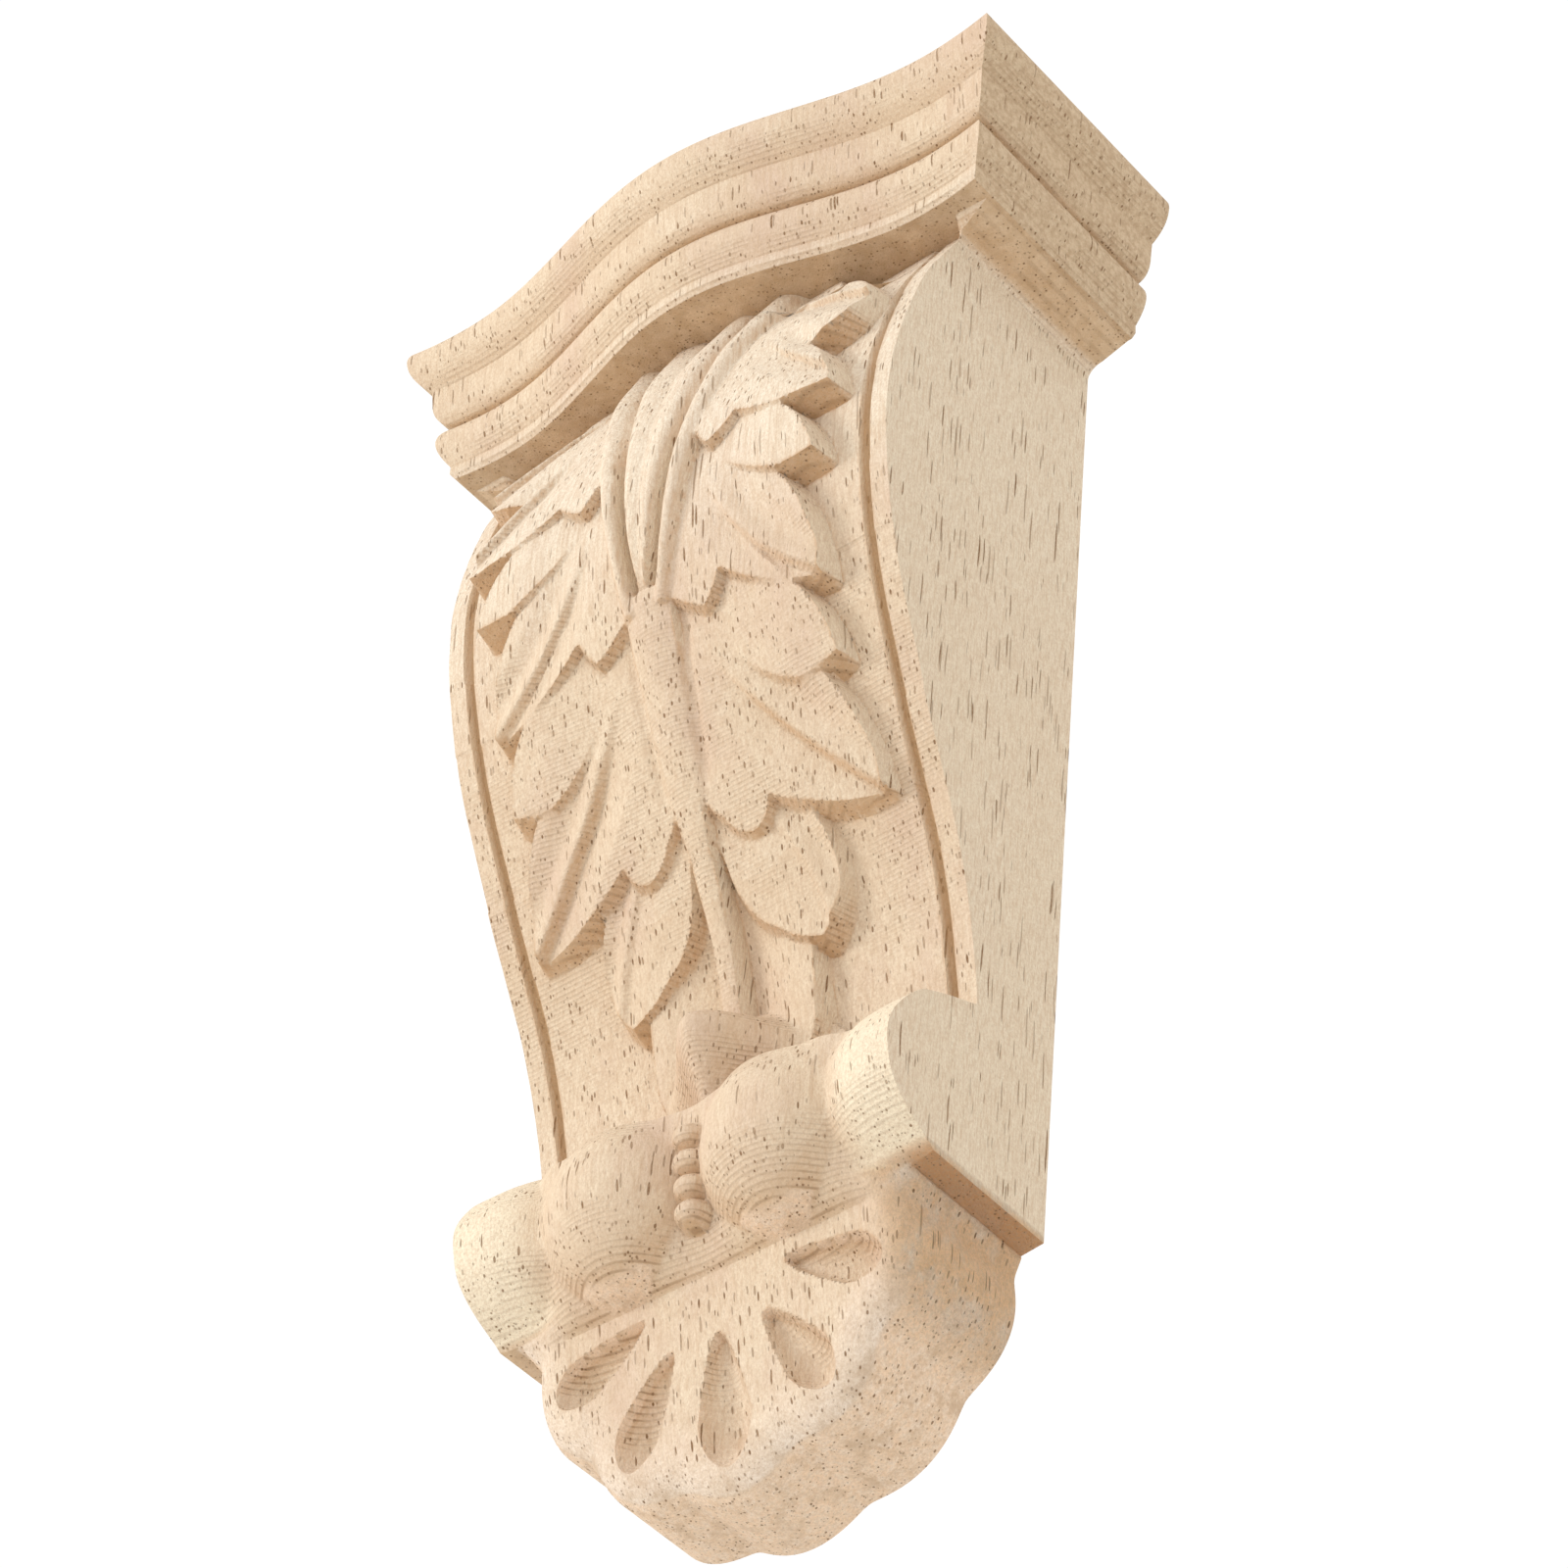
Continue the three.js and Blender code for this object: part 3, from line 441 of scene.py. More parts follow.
def tongue_height(x, t):
    """Tip of the leaf, hollow on both sides of the rib, with its end curled out to a lip."""
    edge = np.clip((knotted(TONGUE["half"], t) - x) / TONGUE["draft"] + 1, 0, 1)
    edge = edge * (1 - ramp(t, *TONGUE["closes"]))
    panel = mix(TONGUE["middle"], knotted(TONGUE["rim"], t), smooth(x, *TONGUE["hollow"])) * edge
    lag = t - CURL["lag"] * x * x
    across = np.exp(-((x / knotted(CURL["half"], lag)) ** CURL["power"]))
    curl = CURL["ground"] + knotted(CURL["rise"], lag) * across
    tongue = smooth_max(panel, np.where(lag > CURL["start"], curl, 0), TONGUE["blend"])
    return np.where((t > TONGUE["top"]) & (t < TONGUE["end"]), tongue, 0)


def leaf_height(x, t, sizes):
    """Height of the whole leaf above the body."""
    leaf = np.zeros(x.shape)
    for tier in TIERS:
        leaf = np.maximum(leaf, tier_height(tier, x, t, sizes["leaf_draft"]))
    for stem in STEMS:
        grown = smooth_max(leaf, stem_height(stem, x, t, sizes["stem_relief"]), 0.5)
        leaf = np.where(t < EYE + 4, grown, leaf)
    leaf = np.maximum(leaf, rib_height(x, t, sizes["rib_relief"]))
    leaf = leaf - valley_depth(STEM_VALLEY, x - knotted(STEM_VALLEY["middle"], t), t)
    leaf = np.maximum(leaf, tongue_height(x, t))
    return leaf - valley_depth(RIB_VALLEY, x - knotted(RIB["half"], t) - RIB_VALLEY["off"], t)


def shell_face(t):
    return SHELL["face"] - SHELL["lean"] * (t - LEDGE)


def shell_radius(angle):
    """Radius of the scalloped rim at an angle from straight down."""
    turn = np.pi * angle / math.radians(SHELL["scallop_angle"])
    lobes = np.sqrt(np.cos(turn) ** 2 + SHELL["softness"]) / math.sqrt(1 + SHELL["softness"])
    narrower = SHELL["drawn_in"] * (angle / math.radians(SHELL["sweep"])) ** 2
    return SHELL["radius"] * (1 - narrower) + SHELL["scallop"] * lobes


def from_rim(x, t):
    return shell_radius(np.arctan2(x, t - SHELL["apex"])) - np.hypot(x, t - SHELL["apex"])


def flute_frame(flute, x, t):
    """Share of the way along a drop, and share of the way from its middle out to its rim."""
    (tip_x, tip_t), (end_x, end_t), wide = flute
    length = math.hypot(end_x - tip_x, end_t - tip_t)
    across, down = (end_x - tip_x) / length, (end_t - tip_t) / length
    u = (x - tip_x) * across + (t - tip_t) * down
    v = (x - tip_x) * down - (t - tip_t) * across
    centre = length - FLUTE_END * wide
    half = np.maximum(wide * ramp(u, 0, centre) ** 0.6, 1e-3)
    out = np.where(u < centre, np.abs(v) / half, np.hypot((u - centre) / FLUTE_END, v) / wide)
    far_out = 9.0
    return u / length, np.where(u > 0, out, far_out)


def flute_inset(flute, x, t):
    return (1 - flute_frame(flute, x, t)[1]) * flute[2]


def flute_depth(flute, x, t, depth):
    along, out = flute_frame(flute, x, t)
    return depth * mix(0.45, 1, ramp(along, 0, 0.75)) * dome(1 - out**2) ** 1.5


def ear_height(x, t, half):
    inner = half - EAR["flat"]
    s = ramp(inner - x, 0, inner - EAR["crease"])
    rim = knotted(EAR["side"], t)
    hollow = np.maximum(rim - EAR["floor"], 0) * EAR["hollow"] * s * s
    ear = rim - hollow - EAR["fall"] * np.maximum(EAR["crease"] - x, 0) ** 1.5
    return np.where(t > LEDGE, np.minimum(ear, shell_face(t)), ear)


def band_height(x, t):
    """Swelling across the foot that carries the balls."""
    band = BAND["relief"] * dome(1 - ((t - BAND["t"]) / BAND["half_t"]) ** 2)
    return band * mix(BAND["middle"], 1, smooth(x, *BAND["grows"])) * (1 - smooth(x, *BAND["fades"]))


def with_ball(h, x, t, shape, ground, relief):
    """Adds a ball or bead whose middle is at x = 0, t = 0."""
    q = 1 - (x / shape["half_x"]) ** 2 - (t / shape["half_t"]) ** 2
    return np.where(q > 0, smooth_max(h, ground + relief * dome(q), shape["blend"]), h)


def face_height(x, t, sizes):
    """Height of the carved face above the wall at a point of the drawing, in mm."""
    half = half_width(t)
    h = knotted(GROUND, t)
    flared = FLARE["slope"] * np.maximum(FLARE["end"] - t, 0) * ramp(x, half, half + FLARE["run"])
    h = h + np.where(x > half, flared, 0)
    groove = (x - half + sizes["groove_inset"]) / (sizes["groove_width"] / 2)
    h = h - np.where(t < GROOVE_END, sizes["groove_depth"] * dome(1 - groove**2), 0)
    h = h + leaf_height(x, t, sizes)

    h = np.where(t > SHELL_START, np.maximum(h, shell_face(t)), h)
    h = np.where(t > SHELL_START, np.maximum(h, shell_face(t) + band_height(x, t)), h)
    beside = (t > EAR["top"]) & (x > EAR["start"])
    h = np.where(beside, smooth_max(h, ear_height(x, t, half), EAR["blend"]), h)
    h = with_ball(h, x - BALL["x"], t - BALL["t"], BALL, BALL["ground"], sizes["ball_relief"])
    for i in range(BEAD["count"]):
        below = t - BEAD["first"] - i * BEAD["pitch"]
        h = with_ball(h, x, below, BEAD, BEAD["ground"] - BEAD["drop"] * i, sizes["bead_relief"])
    for flute in FLUTES:
        h = h - flute_depth(flute, x, t, sizes["flute_depth"])

    r = sizes["foot_round"]
    lost = r - np.sqrt(r**2 - (r - np.clip(from_rim(x, t), 0, r)) ** 2)
    return h - np.where(t > LEDGE, lost * ramp(t, LEDGE, LEDGE + 3), 0)


def marks_and_shade(x, t, sizes):
    """Where the carving is cut steeply, with painted shade on those cuts that is weaker where they face
    up, where the shell's rim is, and where the cutter left ridges.
    """
    sharp = {**sizes, "foot_round": 0.01}
    ax = np.abs(x)
    d = 0.25

    def relief(a, b):
        return face_height(a, b, sharp) - np.where(b > SHELL_START, shell_face(b), knotted(GROUND, b))

    across = (relief(ax + d, t) - relief(np.abs(ax - d), t)) / (2 * d)
    down = (relief(ax, t + d) - relief(ax, t - d)) / (2 * d)
    steep = np.hypot(across, down)
    upward = smooth(down / np.maximum(steep, 0.1), 0.0, 0.8)
    beside_ear = np.where((t > 143) & (t < 171), 1 - smooth(ax, 17, 21), 1)
    # painted shade as well as rough-cut wood: steep cuts darken, less where they face up
    cut = smooth(steep, 0.5, 2.2) * (1 - 0.75 * upward) * beside_ear
    on_balls = np.where((t > 152) & (t < 171), 0.55, 1)
    cut = cut * on_balls
    rim = np.where(t > LEDGE + 0.3, 1 - ramp(from_rim(ax, t), 0.5, 7.0), 0)
    ridged = cut * np.where(t > CURL["start"] - 0.5, 1, 0.3)
    return cut, rim, ridged


# mesh helpers


def deselect_all():
    if bpy.context.object and bpy.context.object.mode != "OBJECT":
        bpy.ops.object.mode_set(mode="OBJECT")
    bpy.ops.object.select_all(action="DESELECT")


def positions(piece):
    co = np.empty(len(piece.data.vertices) * 3)
    piece.data.vertices.foreach_get("co", co)
    return co.reshape(-1, 3)


def set_positions(piece, co):
    piece.data.vertices.foreach_set("co", np.ascontiguousarray(co, dtype=np.float32).ravel())
    piece.data.update()


def picked(piece):
    chosen = np.empty(len(piece.data.vertices), bool)
    piece.data.vertices.foreach_get("select", chosen)
    return chosen


def named(piece, name):
    piece.name = name
    piece.data.name = name
    return piece


def combine(piece, other, operation):
    """Joins to, or cuts from, the piece with another closed mesh, which is then removed."""
    deselect_all()
    bpy.context.view_layer.objects.active = piece
    piece.select_set(True)
    cut = piece.modifiers.new("combine", "BOOLEAN")
    cut.operation = operation
    cut.solver = "MANIFOLD"
    cut.object = other
    bpy.ops.object.modifier_apply(modifier=cut.name)
    bpy.data.objects.remove(other, do_unlink=True)
    if len(piece.data.polygons) < 100:
        raise RuntimeError(f"{operation} left nothing of {piece.name}")


def onto_edge(distance, levels, x, t, reach):
    """Moves the points that lie close to an edge of the carving onto that edge."""
    d = distance(x, t)
    for level in levels:
        near = np.flatnonzero(np.abs(d - level) < reach)
        px, pt, step = x[near], t[near], 1e-3
        across = (distance(px + step, pt) - d[near]) / step
        down = (distance(px, pt + step) - d[near]) / step
        move = (d[near] - level) / np.maximum(across**2 + down**2, 0.2)
        x[near] -= np.clip(move * across, -reach, reach)
        t[near] -= np.clip(move * down, -reach, reach)


def snap_to_edges(x, t, sizes):
    reach = 0.5 * sizes["pitch"]
    for tier in TIERS:
        outline = outline_points(tier["corners"])
        onto_edge(lambda a, b: inset(outline, a, b), (0, -sizes["leaf_draft"]), x, t, reach)
    for flute in FLUTES:
        onto_edge(lambda a, b: flute_inset(flute, a, b), (0,), x, t, reach)
    lip = sizes["groove_width"] / 2
    reach = 0.4 * sizes["pitch"]
    onto_edge(lambda a, b: a - half_width(b) + sizes["groove_inset"], (-lip, 0, lip), x, t, reach)


def recalculate_normals():
    """Turns all faces outwards, from edit mode, and goes back to object mode."""
    bpy.ops.mesh.select_all(action="SELECT")
    bpy.ops.mesh.normals_make_consistent(inside=False)
    bpy.ops.object.mode_set(mode="OBJECT")


def close_behind(block):
    """Draws the open border of a carved sheet back past the wall face and closes it there."""
    bpy.ops.object.mode_set(mode="EDIT")
    bpy.ops.mesh.select_mode(type="VERT")
    bpy.ops.mesh.select_all(action="DESELECT")
    bpy.ops.mesh.select_non_manifold(
        extend=False,
        use_wire=False,
        use_boundary=True,
        use_multi_face=False,
        use_non_contiguous=False,
        use_verts=False,
    )
    bpy.ops.mesh.extrude_edges_move()
    bpy.ops.object.mode_set(mode="OBJECT")
    co = positions(block)
    co[picked(block), 1] = WALL_BACK * MM
    set_positions(block, co)
    bpy.ops.object.mode_set(mode="EDIT")
    bpy.ops.mesh.edge_face_add()
    recalculate_normals()


def carved_block(sizes):
    """Block whose front is the carved face and whose back lies behind the wall face."""
    top, bottom = BLOCK["top"], BLOCK["bottom"]
    columns = round(BLOCK["width"] / sizes["pitch"])
    rows = round((bottom - top) / sizes["pitch"])
    bpy.ops.mesh.primitive_grid_add(x_subdivisions=columns, y_subdivisions=rows, size=2)
    block = named(bpy.context.object, "carved_block")
    co = positions(block)
    t = mix(bottom, top, (co[:, 1] + 1) / 2)
    beyond = np.where(t < BLOCK["wide_end"], BLOCK["wide"], BLOCK["narrow"])
    x = co[:, 0] * (half_width(np.minimum(t, LEDGE)) + beyond)
    side = np.sign(x)
    inner = (np.abs(co[:, 0]) < 0.999) & (np.abs(co[:, 1]) < 0.999) & (side != 0)
    ax, at = np.abs(x[inner]), t[inner]
    snap_to_edges(ax, at, sizes)
    x[inner], t[inner] = side[inner] * np.maximum(ax, 0.05), at
    h = face_height(np.abs(x), t, sizes)
    h = h + sizes["unevenness"] * (unevenness(x + 90, t, 5.0, 3) + 0.5 * unevenness(x + 50, t, 1.7, 4))
    set_positions(block, np.stack([x, -h, TOP_Z - t], axis=1) * MM)
    close_behind(block)
    return block


def body_outline():
    """Outline of all below the cap, seen from the front: right half, then left half."""
    flared = half_width(SOFFIT) + FLARE["out"]
    right = [(flared, SOFFIT - 0.8), (flared, SOFFIT + 0.05)]
    for a in np.linspace(0, math.pi / 2, 10):
        down = FLARE["drop"] + FLARE["round"] * (1 - math.cos(a))
        t = SOFFIT + down - FLARE["drop"] * FLARE["round"] / FLARE["out"]
        right.append((half_width(t) + FLARE["round"] * (1 - math.sin(a)), t))
    right.append((half_width(LEDGE), LEDGE))
    right.append((SHELL["upper_corner"], LEDGE + 0.4))
    for degrees in np.arange(SHELL["sweep"], -0.1, -1):
        a = math.radians(degrees)
        r = float(shell_radius(np.array(a)))
        right.append((r * math.sin(a), SHELL["apex"] + r * math.cos(a)))
    return right + [(-x, t) for x, t in reversed(right[:-1])]


def outline_block():
    """The outline drawn out from the wall face."""
    outline = body_outline()
    bpy.ops.mesh.primitive_circle_add(vertices=len(outline), radius=1, fill_type="NGON")
    block = named(bpy.context.object, "outline_block")
    set_positions(block, np.array([(x * MM, 0.0, (TOP_Z - t) * MM) for x, t in outline]))
    bpy.ops.object.mode_set(mode="EDIT")
    bpy.ops.mesh.select_all(action="SELECT")
    bpy.ops.mesh.extrude_region_move(TRANSFORM_OT_translate={"value": (0, -BLOCK_DEPTH * MM, 0)})
    recalculate_normals()
    return block


def bow_depth(x):
    """Depth of the cap's front edge: bowed out in the middle and a little at both ends."""
    ax = np.abs(x)
    bow = CAP_DEPTH + BOW["rise"] / 2 * (1 + np.cos(np.pi * ax / BOW["half"]))
    end = CAP_DEPTH + BOW["end_rise"] * ((ax - BOW["half"]) / (CAP_HALF - BOW["half"])) ** 2
    return np.where(ax < BOW["half"], bow, end)


def cap_section():
    """Steps in from the cap's edge against depths below its top."""

    def bend(a, b, c, steps):
        return [tuple(p) for p in stroke_points([a, b, c], steps)[1:]]

    section = [(2.5, 0.0)]
    section += bend((2.5, 0), (0, 0), (0, 2.5), 8)
    section += bend((0, 2.5), (0.2, 5.925), (2.8, 7.9), 10)
    section += [(2.83, 8.05), (3.0, 10.2)]
    section += bend((3.0, 10.2), (3.1, 14.3), (5.6, 14.3), 8)
    section += bend((5.6, 14.3), (2.0, 17.03), (5.4, 22.1), 12)
    section += [(5.5, 22.2), (5.5, 23.6), (6.1, SOFFIT)]
    return section


def cap_block():
    """The cap, drawn up from its underside ring by ring."""
    across = np.linspace(CAP_HALF, -CAP_HALF, 141)
    section = cap_section()[::-1]

    def ring(step, down):
        reach = CAP_HALF - step
        x = np.concatenate([[reach], across * reach / CAP_HALF, [-reach]])
        y = np.concatenate([[0.0], step - bow_depth(across), [0.0]])
        return np.stack([x, y, np.full(x.shape, TOP_Z - down)], axis=1) * MM

    bpy.ops.mesh.primitive_circle_add(vertices=len(across) + 2, radius=1, fill_type="NGON")
    cap = named(bpy.context.object, "cap_block")
    set_positions(cap, ring(*section[0]))
    bpy.ops.object.mode_set(mode="EDIT")
    bpy.ops.mesh.select_all(action="SELECT")
    for step, down in section[1:]:
        bpy.ops.mesh.extrude_region_move()
        bpy.ops.object.mode_set(mode="OBJECT")
        co = positions(cap)
        moved = np.flatnonzero(picked(cap))
        co[moved] = ring(step, down)
        set_positions(cap, co)
        bpy.ops.object.mode_set(mode="EDIT")
    recalculate_normals()
    return cap


# wood


class Nodes:
    """Short way to write a material's nodes."""

    def __init__(self, material):
        material.use_nodes = True
        self.tree = material.node_tree
        self.tree.nodes.clear()

    def add(self, kind, inputs=(), **settings):
        node = self.tree.nodes.new(kind)
        for key, value in settings.items():
            setattr(node, key, value)
        for key, value in dict(inputs).items():
            if isinstance(value, bpy.types.NodeSocket):
                self.tree.links.new(value, node.inputs[key])
            else:
                node.inputs[key].default_value = value
        return node

    def math(self, operation, a, b=0.0):
        return self.add("ShaderNodeMath", {0: a, 1: b}, operation=operation).outputs[0]

    def plus(self, a, b):
        return self.math("ADD", a, b)

    def times(self, a, b):
        return self.math("MULTIPLY", a, b)

    def other_share(self, share):
        return self.math("SUBTRACT", 1.0, share)

    def unsigned(self, a):
        return self.math("ABSOLUTE", a)

    def parts(self, vector):
        return self.add("ShaderNodeSeparateXYZ", {0: vector}).outputs[:3]

    def span(self, value, low, high, to_low=0.0, to_high=1.0):
        """Goes smoothly from to_low to to_high while the value goes from low to high."""
        ends = {"Value": value, 1: low, 2: high, 3: to_low, 4: to_high}
        return self.add("ShaderNodeMapRange", ends, interpolation_type="SMOOTHSTEP").outputs[0]

    def blend(self, share, a, b):
        return self.add("ShaderNodeMix", {0: share, 6: a, 7: b}, data_type="RGBA").outputs[2]

    def stretch(self, vector, scale, rotation=(0, 0, 0)):
        turned = {"Vector": vector, "Rotation": rotation, "Scale": scale}
        return self.add("ShaderNodeMapping", turned).outputs[0]

    def noise(self, vector, detail=2.0, roughness=0.5):
        field = {"Vector": vector, "Scale": 1.0, "Detail": detail, "Roughness": roughness}
        return self.add("ShaderNodeTexNoise", field)


def linear(rgb):
    """Display colour in 0 to 255 as a linear colour."""
    c = np.array(rgb, float) / 255
    c = np.where(c <= 0.04045, c / 12.92, ((c + 0.055) / 1.055) ** 2.4)
    return (*[float(v) for v in c], 1.0)


class Rubberwood:
    """Bare rubberwood: pale boards, short dark pores along the grain, cutter marks and end grain, with
    painted shade on faces that face down, on steep cuts and in the groove, and painted light on the ears.
    """

    def __init__(self, material, look):
        n = Nodes(material)
        self.n = n
        self.look = look
        self.mm = n.stretch(n.add("ShaderNodeTexCoord").outputs["Object"], (1000, 1000, 1000))
        self.x, self.y, self.z = n.parts(self.mm)
        nx, ny, nz = n.parts(n.add("ShaderNodeTexCoord").outputs["Normal"])
        self.down = n.times(nz, -1.0)
        self.steep = n.unsigned(nz)
        self.aside = n.unsigned(nx)
        self.flank = n.span(self.aside, 0.75, 0.97)
        self.wall = n.times(self.level("foot from"), n.span(n.unsigned(ny), 0.3, 0.5, 1.0, 0.0))
        rim = n.times(self.noted("rim"), n.other_share(self.wall))
        self.rim = n.math("MAXIMUM", rim, self.wall)
        lower = n.times(self.level("torn to"), self.level("torn from"))
        self.torn = n.times(n.span(self.x, 21.0, 27.0), lower)
        self.streaks = self.noise((2.2, 2.2, 0.12), 3.0, 0.7)
        self.mottle = self.noise((0.5, 0.5, 0.5), 3.0)
        self.speckle = self.noise((1.2, 1.2, 1.2), 4.0, 0.7)
        slant = (math.radians(52), 0, 0)
        self.scratches = n.noise(n.stretch(self.mm, (0.0, 3.2, 0.35), slant), 2.0, 0.8).outputs[0]

    def noise(self, scale, detail=2.0, roughness=0.5):
        return self.n.noise(self.n.stretch(self.mm, scale), detail, roughness).outputs[0]

    def level(self, name):
        return self.n.span(self.z, *LEVELS[name])

    def noted(self, name):
        """A share that the carving noted on the mesh."""
        note = self.n.add("ShaderNodeAttribute", attribute_name=name, attribute_type="GEOMETRY")
        return note.outputs["Fac"]

    def toned(self, colour, share, name):
        return self.n.blend(share, colour, linear(self.look[name]))

    def two_tone(self, field, light, dark):
        share = self.n.span(field, 0.35, 0.65)
        return self.n.blend(share, linear(self.look[light]), linear(self.look[dark]))

    def boards(self):
        """Growth rings lie nearly parallel to the wall face, so they show as bands along the relief."""
        n = self.n
        wander = self.noise((0.02, 0.02, 0.008), 3.0)
        depth = n.plus(n.times(self.y, -1.0), n.times(wander, 9.0))
        turns = n.math("DIVIDE", depth, self.look["ring_pitch"])
        ring = n.add("ShaderNodeTexWhiteNoise", {"W": n.math("FLOOR", turns)}, noise_dimensions="1D")
        tint = n.plus(n.times(ring.outputs["Value"], 0.75), n.times(n.math("FRACT", turns), 0.25))
        colour = n.blend(tint, linear(self.look["cream"]), linear(self.look["tan"]))
        clouds = self.noise((0.06, 0.06, 0.025), 4.0, 0.6)
        colour = self.toned(colour, n.span(clouds, 0.42, 0.7), "pink")
        # the upper half is given a paler colour
        paler_top = n.times(self.level("bleached from"), self.level("bleached to"))
        colour = self.toned(colour, n.times(paler_top, 0.75), "paler_top")
        return self.toned(colour, n.span(self.streaks, 0.35, 0.75, 0.0, 0.6), "streak")

    def sawn_faces_and_under_shade(self, colour):
        """Sawn sides are greyer and scratched, faces that face down get painted shade, and surfaces cut
        across the grain are browner.
        """
        n = self.n
        colour = self.toned(colour, n.times(self.flank, 0.8), "flank")
        scratched = n.times(self.flank, n.span(self.scratches, 0.4, 0.7, 0.0, 0.6))
        colour = self.toned(colour, scratched, "streak")
        # painted shade: surfaces that face down are darkened towards the under colour
        colour = self.toned(colour, n.times(n.span(self.down, 0.25, 0.95), 0.45), "under_shade")
        across = n.times(n.span(self.steep, 0.82, 0.99), 0.8)
        colour = n.blend(across, colour, self.two_tone(self.mottle, "end_grain", "end_grain_dark"))
        cap_end = n.times(n.span(n.unsigned(self.x), 42, 44.5), n.span(self.aside, 0.35, 0.7))
        return n.blend(cap_end, colour, self.two_tone(self.speckle, "cap_end", "cap_end_dark"))

    def painted_light_on_ears(self, colour):
        n = self.n
        # painted light: the fronts of the ears are painted paler, as if more light fell on them
        ear = n.times(self.level("ear from"), self.level("ear to"))
        ear = n.times(ear, n.span(n.unsigned(self.x), 20.0, 26.0))
        return self.toned(colour, n.times(ear, n.span(self.aside, 0.9, 0.7, 0.0, 0.85)), "ear")

    def carved(self, colour):
        """Steep cuts are browner than the faces, partly rough-cut wood and partly painted shade, the
        shell's rim is pinkish and torn wood is orange.
        """
        n = self.n
        # rough-cut colour and painted shade on the steep cuts
        cut = n.times(self.noted("cut"), n.other_share(self.flank))
        colour = self.toned(colour, n.times(cut, n.span(self.streaks, 0.3, 0.7, 0.35, 0.75)), "cut")
        colour = self.toned(colour, n.times(self.rim, n.span(self.mottle, 0.3, 0.7, 0.6, 1.0)), "rim")
        sawn_rim = n.times(self.wall, n.span(self.speckle, 0.3, 0.7, 0.3, 1.0))
        colour = self.toned(colour, sawn_rim, "rim_wall")
        blotch = n.span(self.noise((0.3, 0.3, 0.3), 5.0, 0.7), 0.45, 0.7, 0.0, 0.7)
        colour = self.toned(colour, n.times(self.rim, blotch), "streak")
        ragged = n.times(self.torn, n.span(self.noise((0.2, 0.2, 0.13), 5.0, 0.62), 0.38, 0.56))
        colour = self.toned(colour, n.times(ragged, 0.6), "torn")
        ledge = n.times(self.torn, n.times(self.level("ledge to"), n.span(self.steep, 0.6, 0.9)))
        return self.toned(colour, n.times(ledge, 0.75), "ledge")

    def pores(self, colour):
        """Short tubes along the grain, with fine grit between them."""
        n = self.n
        sway = n.noise(n.stretch(self.mm, (0.1, 0.1, 0.1))).outputs["Color"]
        bent = n.add("ShaderNodeVectorMath", {0: self.mm, 1: sway}, operation="ADD").outputs[0]
        tubes = {"Vector": n.stretch(bent, (2.1, 2.1, 0.085)), "Scale": 1.0, "Randomness": 1.0}
        cells = n.add("ShaderNodeTexVoronoi", tubes, feature="F1")
        chance = n.add("ShaderNodeSeparateColor", {0: cells.outputs["Color"]})
        size = n.times(n.math("POWER", chance.outputs[0], 1.3), 0.34)
        size = n.math("SUBTRACT", size, 0.03)
        outside = n.math("SUBTRACT", cells.outputs["Distance"], size)
        self.pore = n.span(outside, 0.0, 0.06, 1.0, 0.0)
        shade = n.times(self.pore, n.span(chance.outputs[1], 0.0, 1.0, 0.45, 0.95))
        colour = self.toned(colour, shade, "pore")
        grit = self.noise((3.2, 3.2, 2.2), 2.0, 0.8)
        return self.toned(colour, n.span(grit, 0.35, 0.7, 0.0, 0.5), "streak")

    def cutter_marks_and_groove_shade(self, colour):
        """The cutter passed level by level, and the bottom of the groove is painted darker as shade."""
        n = self.n
        wave = n.math("SINE", n.times(self.z, 2 * math.pi / self.look["mark_pitch"]))
        smoothed = n.math("MAXIMUM", self.rim, self.torn)
        shown = n.times(n.span(self.steep, 0.08, 0.5), n.other_share(smoothed))
        patchy = n.span(self.noise((0.12, 0.12, 0.12)), 0.35, 0.6, 0.3, 1.0)
        self.marks = n.times(n.times(wave, shown), patchy)
        strength = n.span(self.noted("ridged"), 0.0, 0.9, 0.18, 0.55)
        colour = self.toned(colour, n.times(n.span(self.marks, 0.1, 0.9), strength), "pore")
        # painted shade in the bottom of the groove
        return self.toned(colour, n.times(self.noted("groove"), 0.75), "groove")

    def relief(self):
        """Fine height of the surface in mm. Torn wood stands up in lumps."""
        n = self.n
        height = n.times(self.marks, self.look["mark_depth"])
        height = n.plus(height, n.times(self.pore, -0.28))
        height = n.plus(height, n.times(n.times(self.scratches, self.flank), 0.25))
        height = n.plus(height, n.times(self.noise((3.5, 3.5, 2.2), 3.0, 0.7), 0.32))
        roughly_cut = n.plus(n.times(self.torn, 3.0), n.times(self.rim, 0.7))
        height = n.plus(height, n.times(self.noise((0.9, 0.9, 0.7), 5.0, 0.75), roughly_cut))
        return n.plus(height, n.times(self.streaks, 0.2))

    def finish(self, colour):
        n = self.n
        bump = n.add("ShaderNodeBump", {"Strength": 0.75, "Distance": MM, "Height": self.relief()})
        surface = {
            "Base Color": colour,
            "Roughness": n.span(self.pore, 0.0, 1.0, 0.85, 0.95),
            "Specular IOR Level": 0.12,
            "Normal": bump.outputs[0],
        }
        shader = n.add("ShaderNodeBsdfPrincipled", surface)
        n.add("ShaderNodeOutputMaterial", {"Surface": shader.outputs[0]})


def rubberwood(look):
    material = bpy.data.materials.new("bare_rubberwood")
    wood = Rubberwood(material, look)
    colour = wood.boards()
    colour = wood.sawn_faces_and_under_shade(colour)
    colour = wood.painted_light_on_ears(colour)
    colour = wood.carved(colour)
    colour = wood.pores(colour)
    colour = wood.cutter_marks_and_groove_shade(colour)
    wood.finish(colour)
    return material


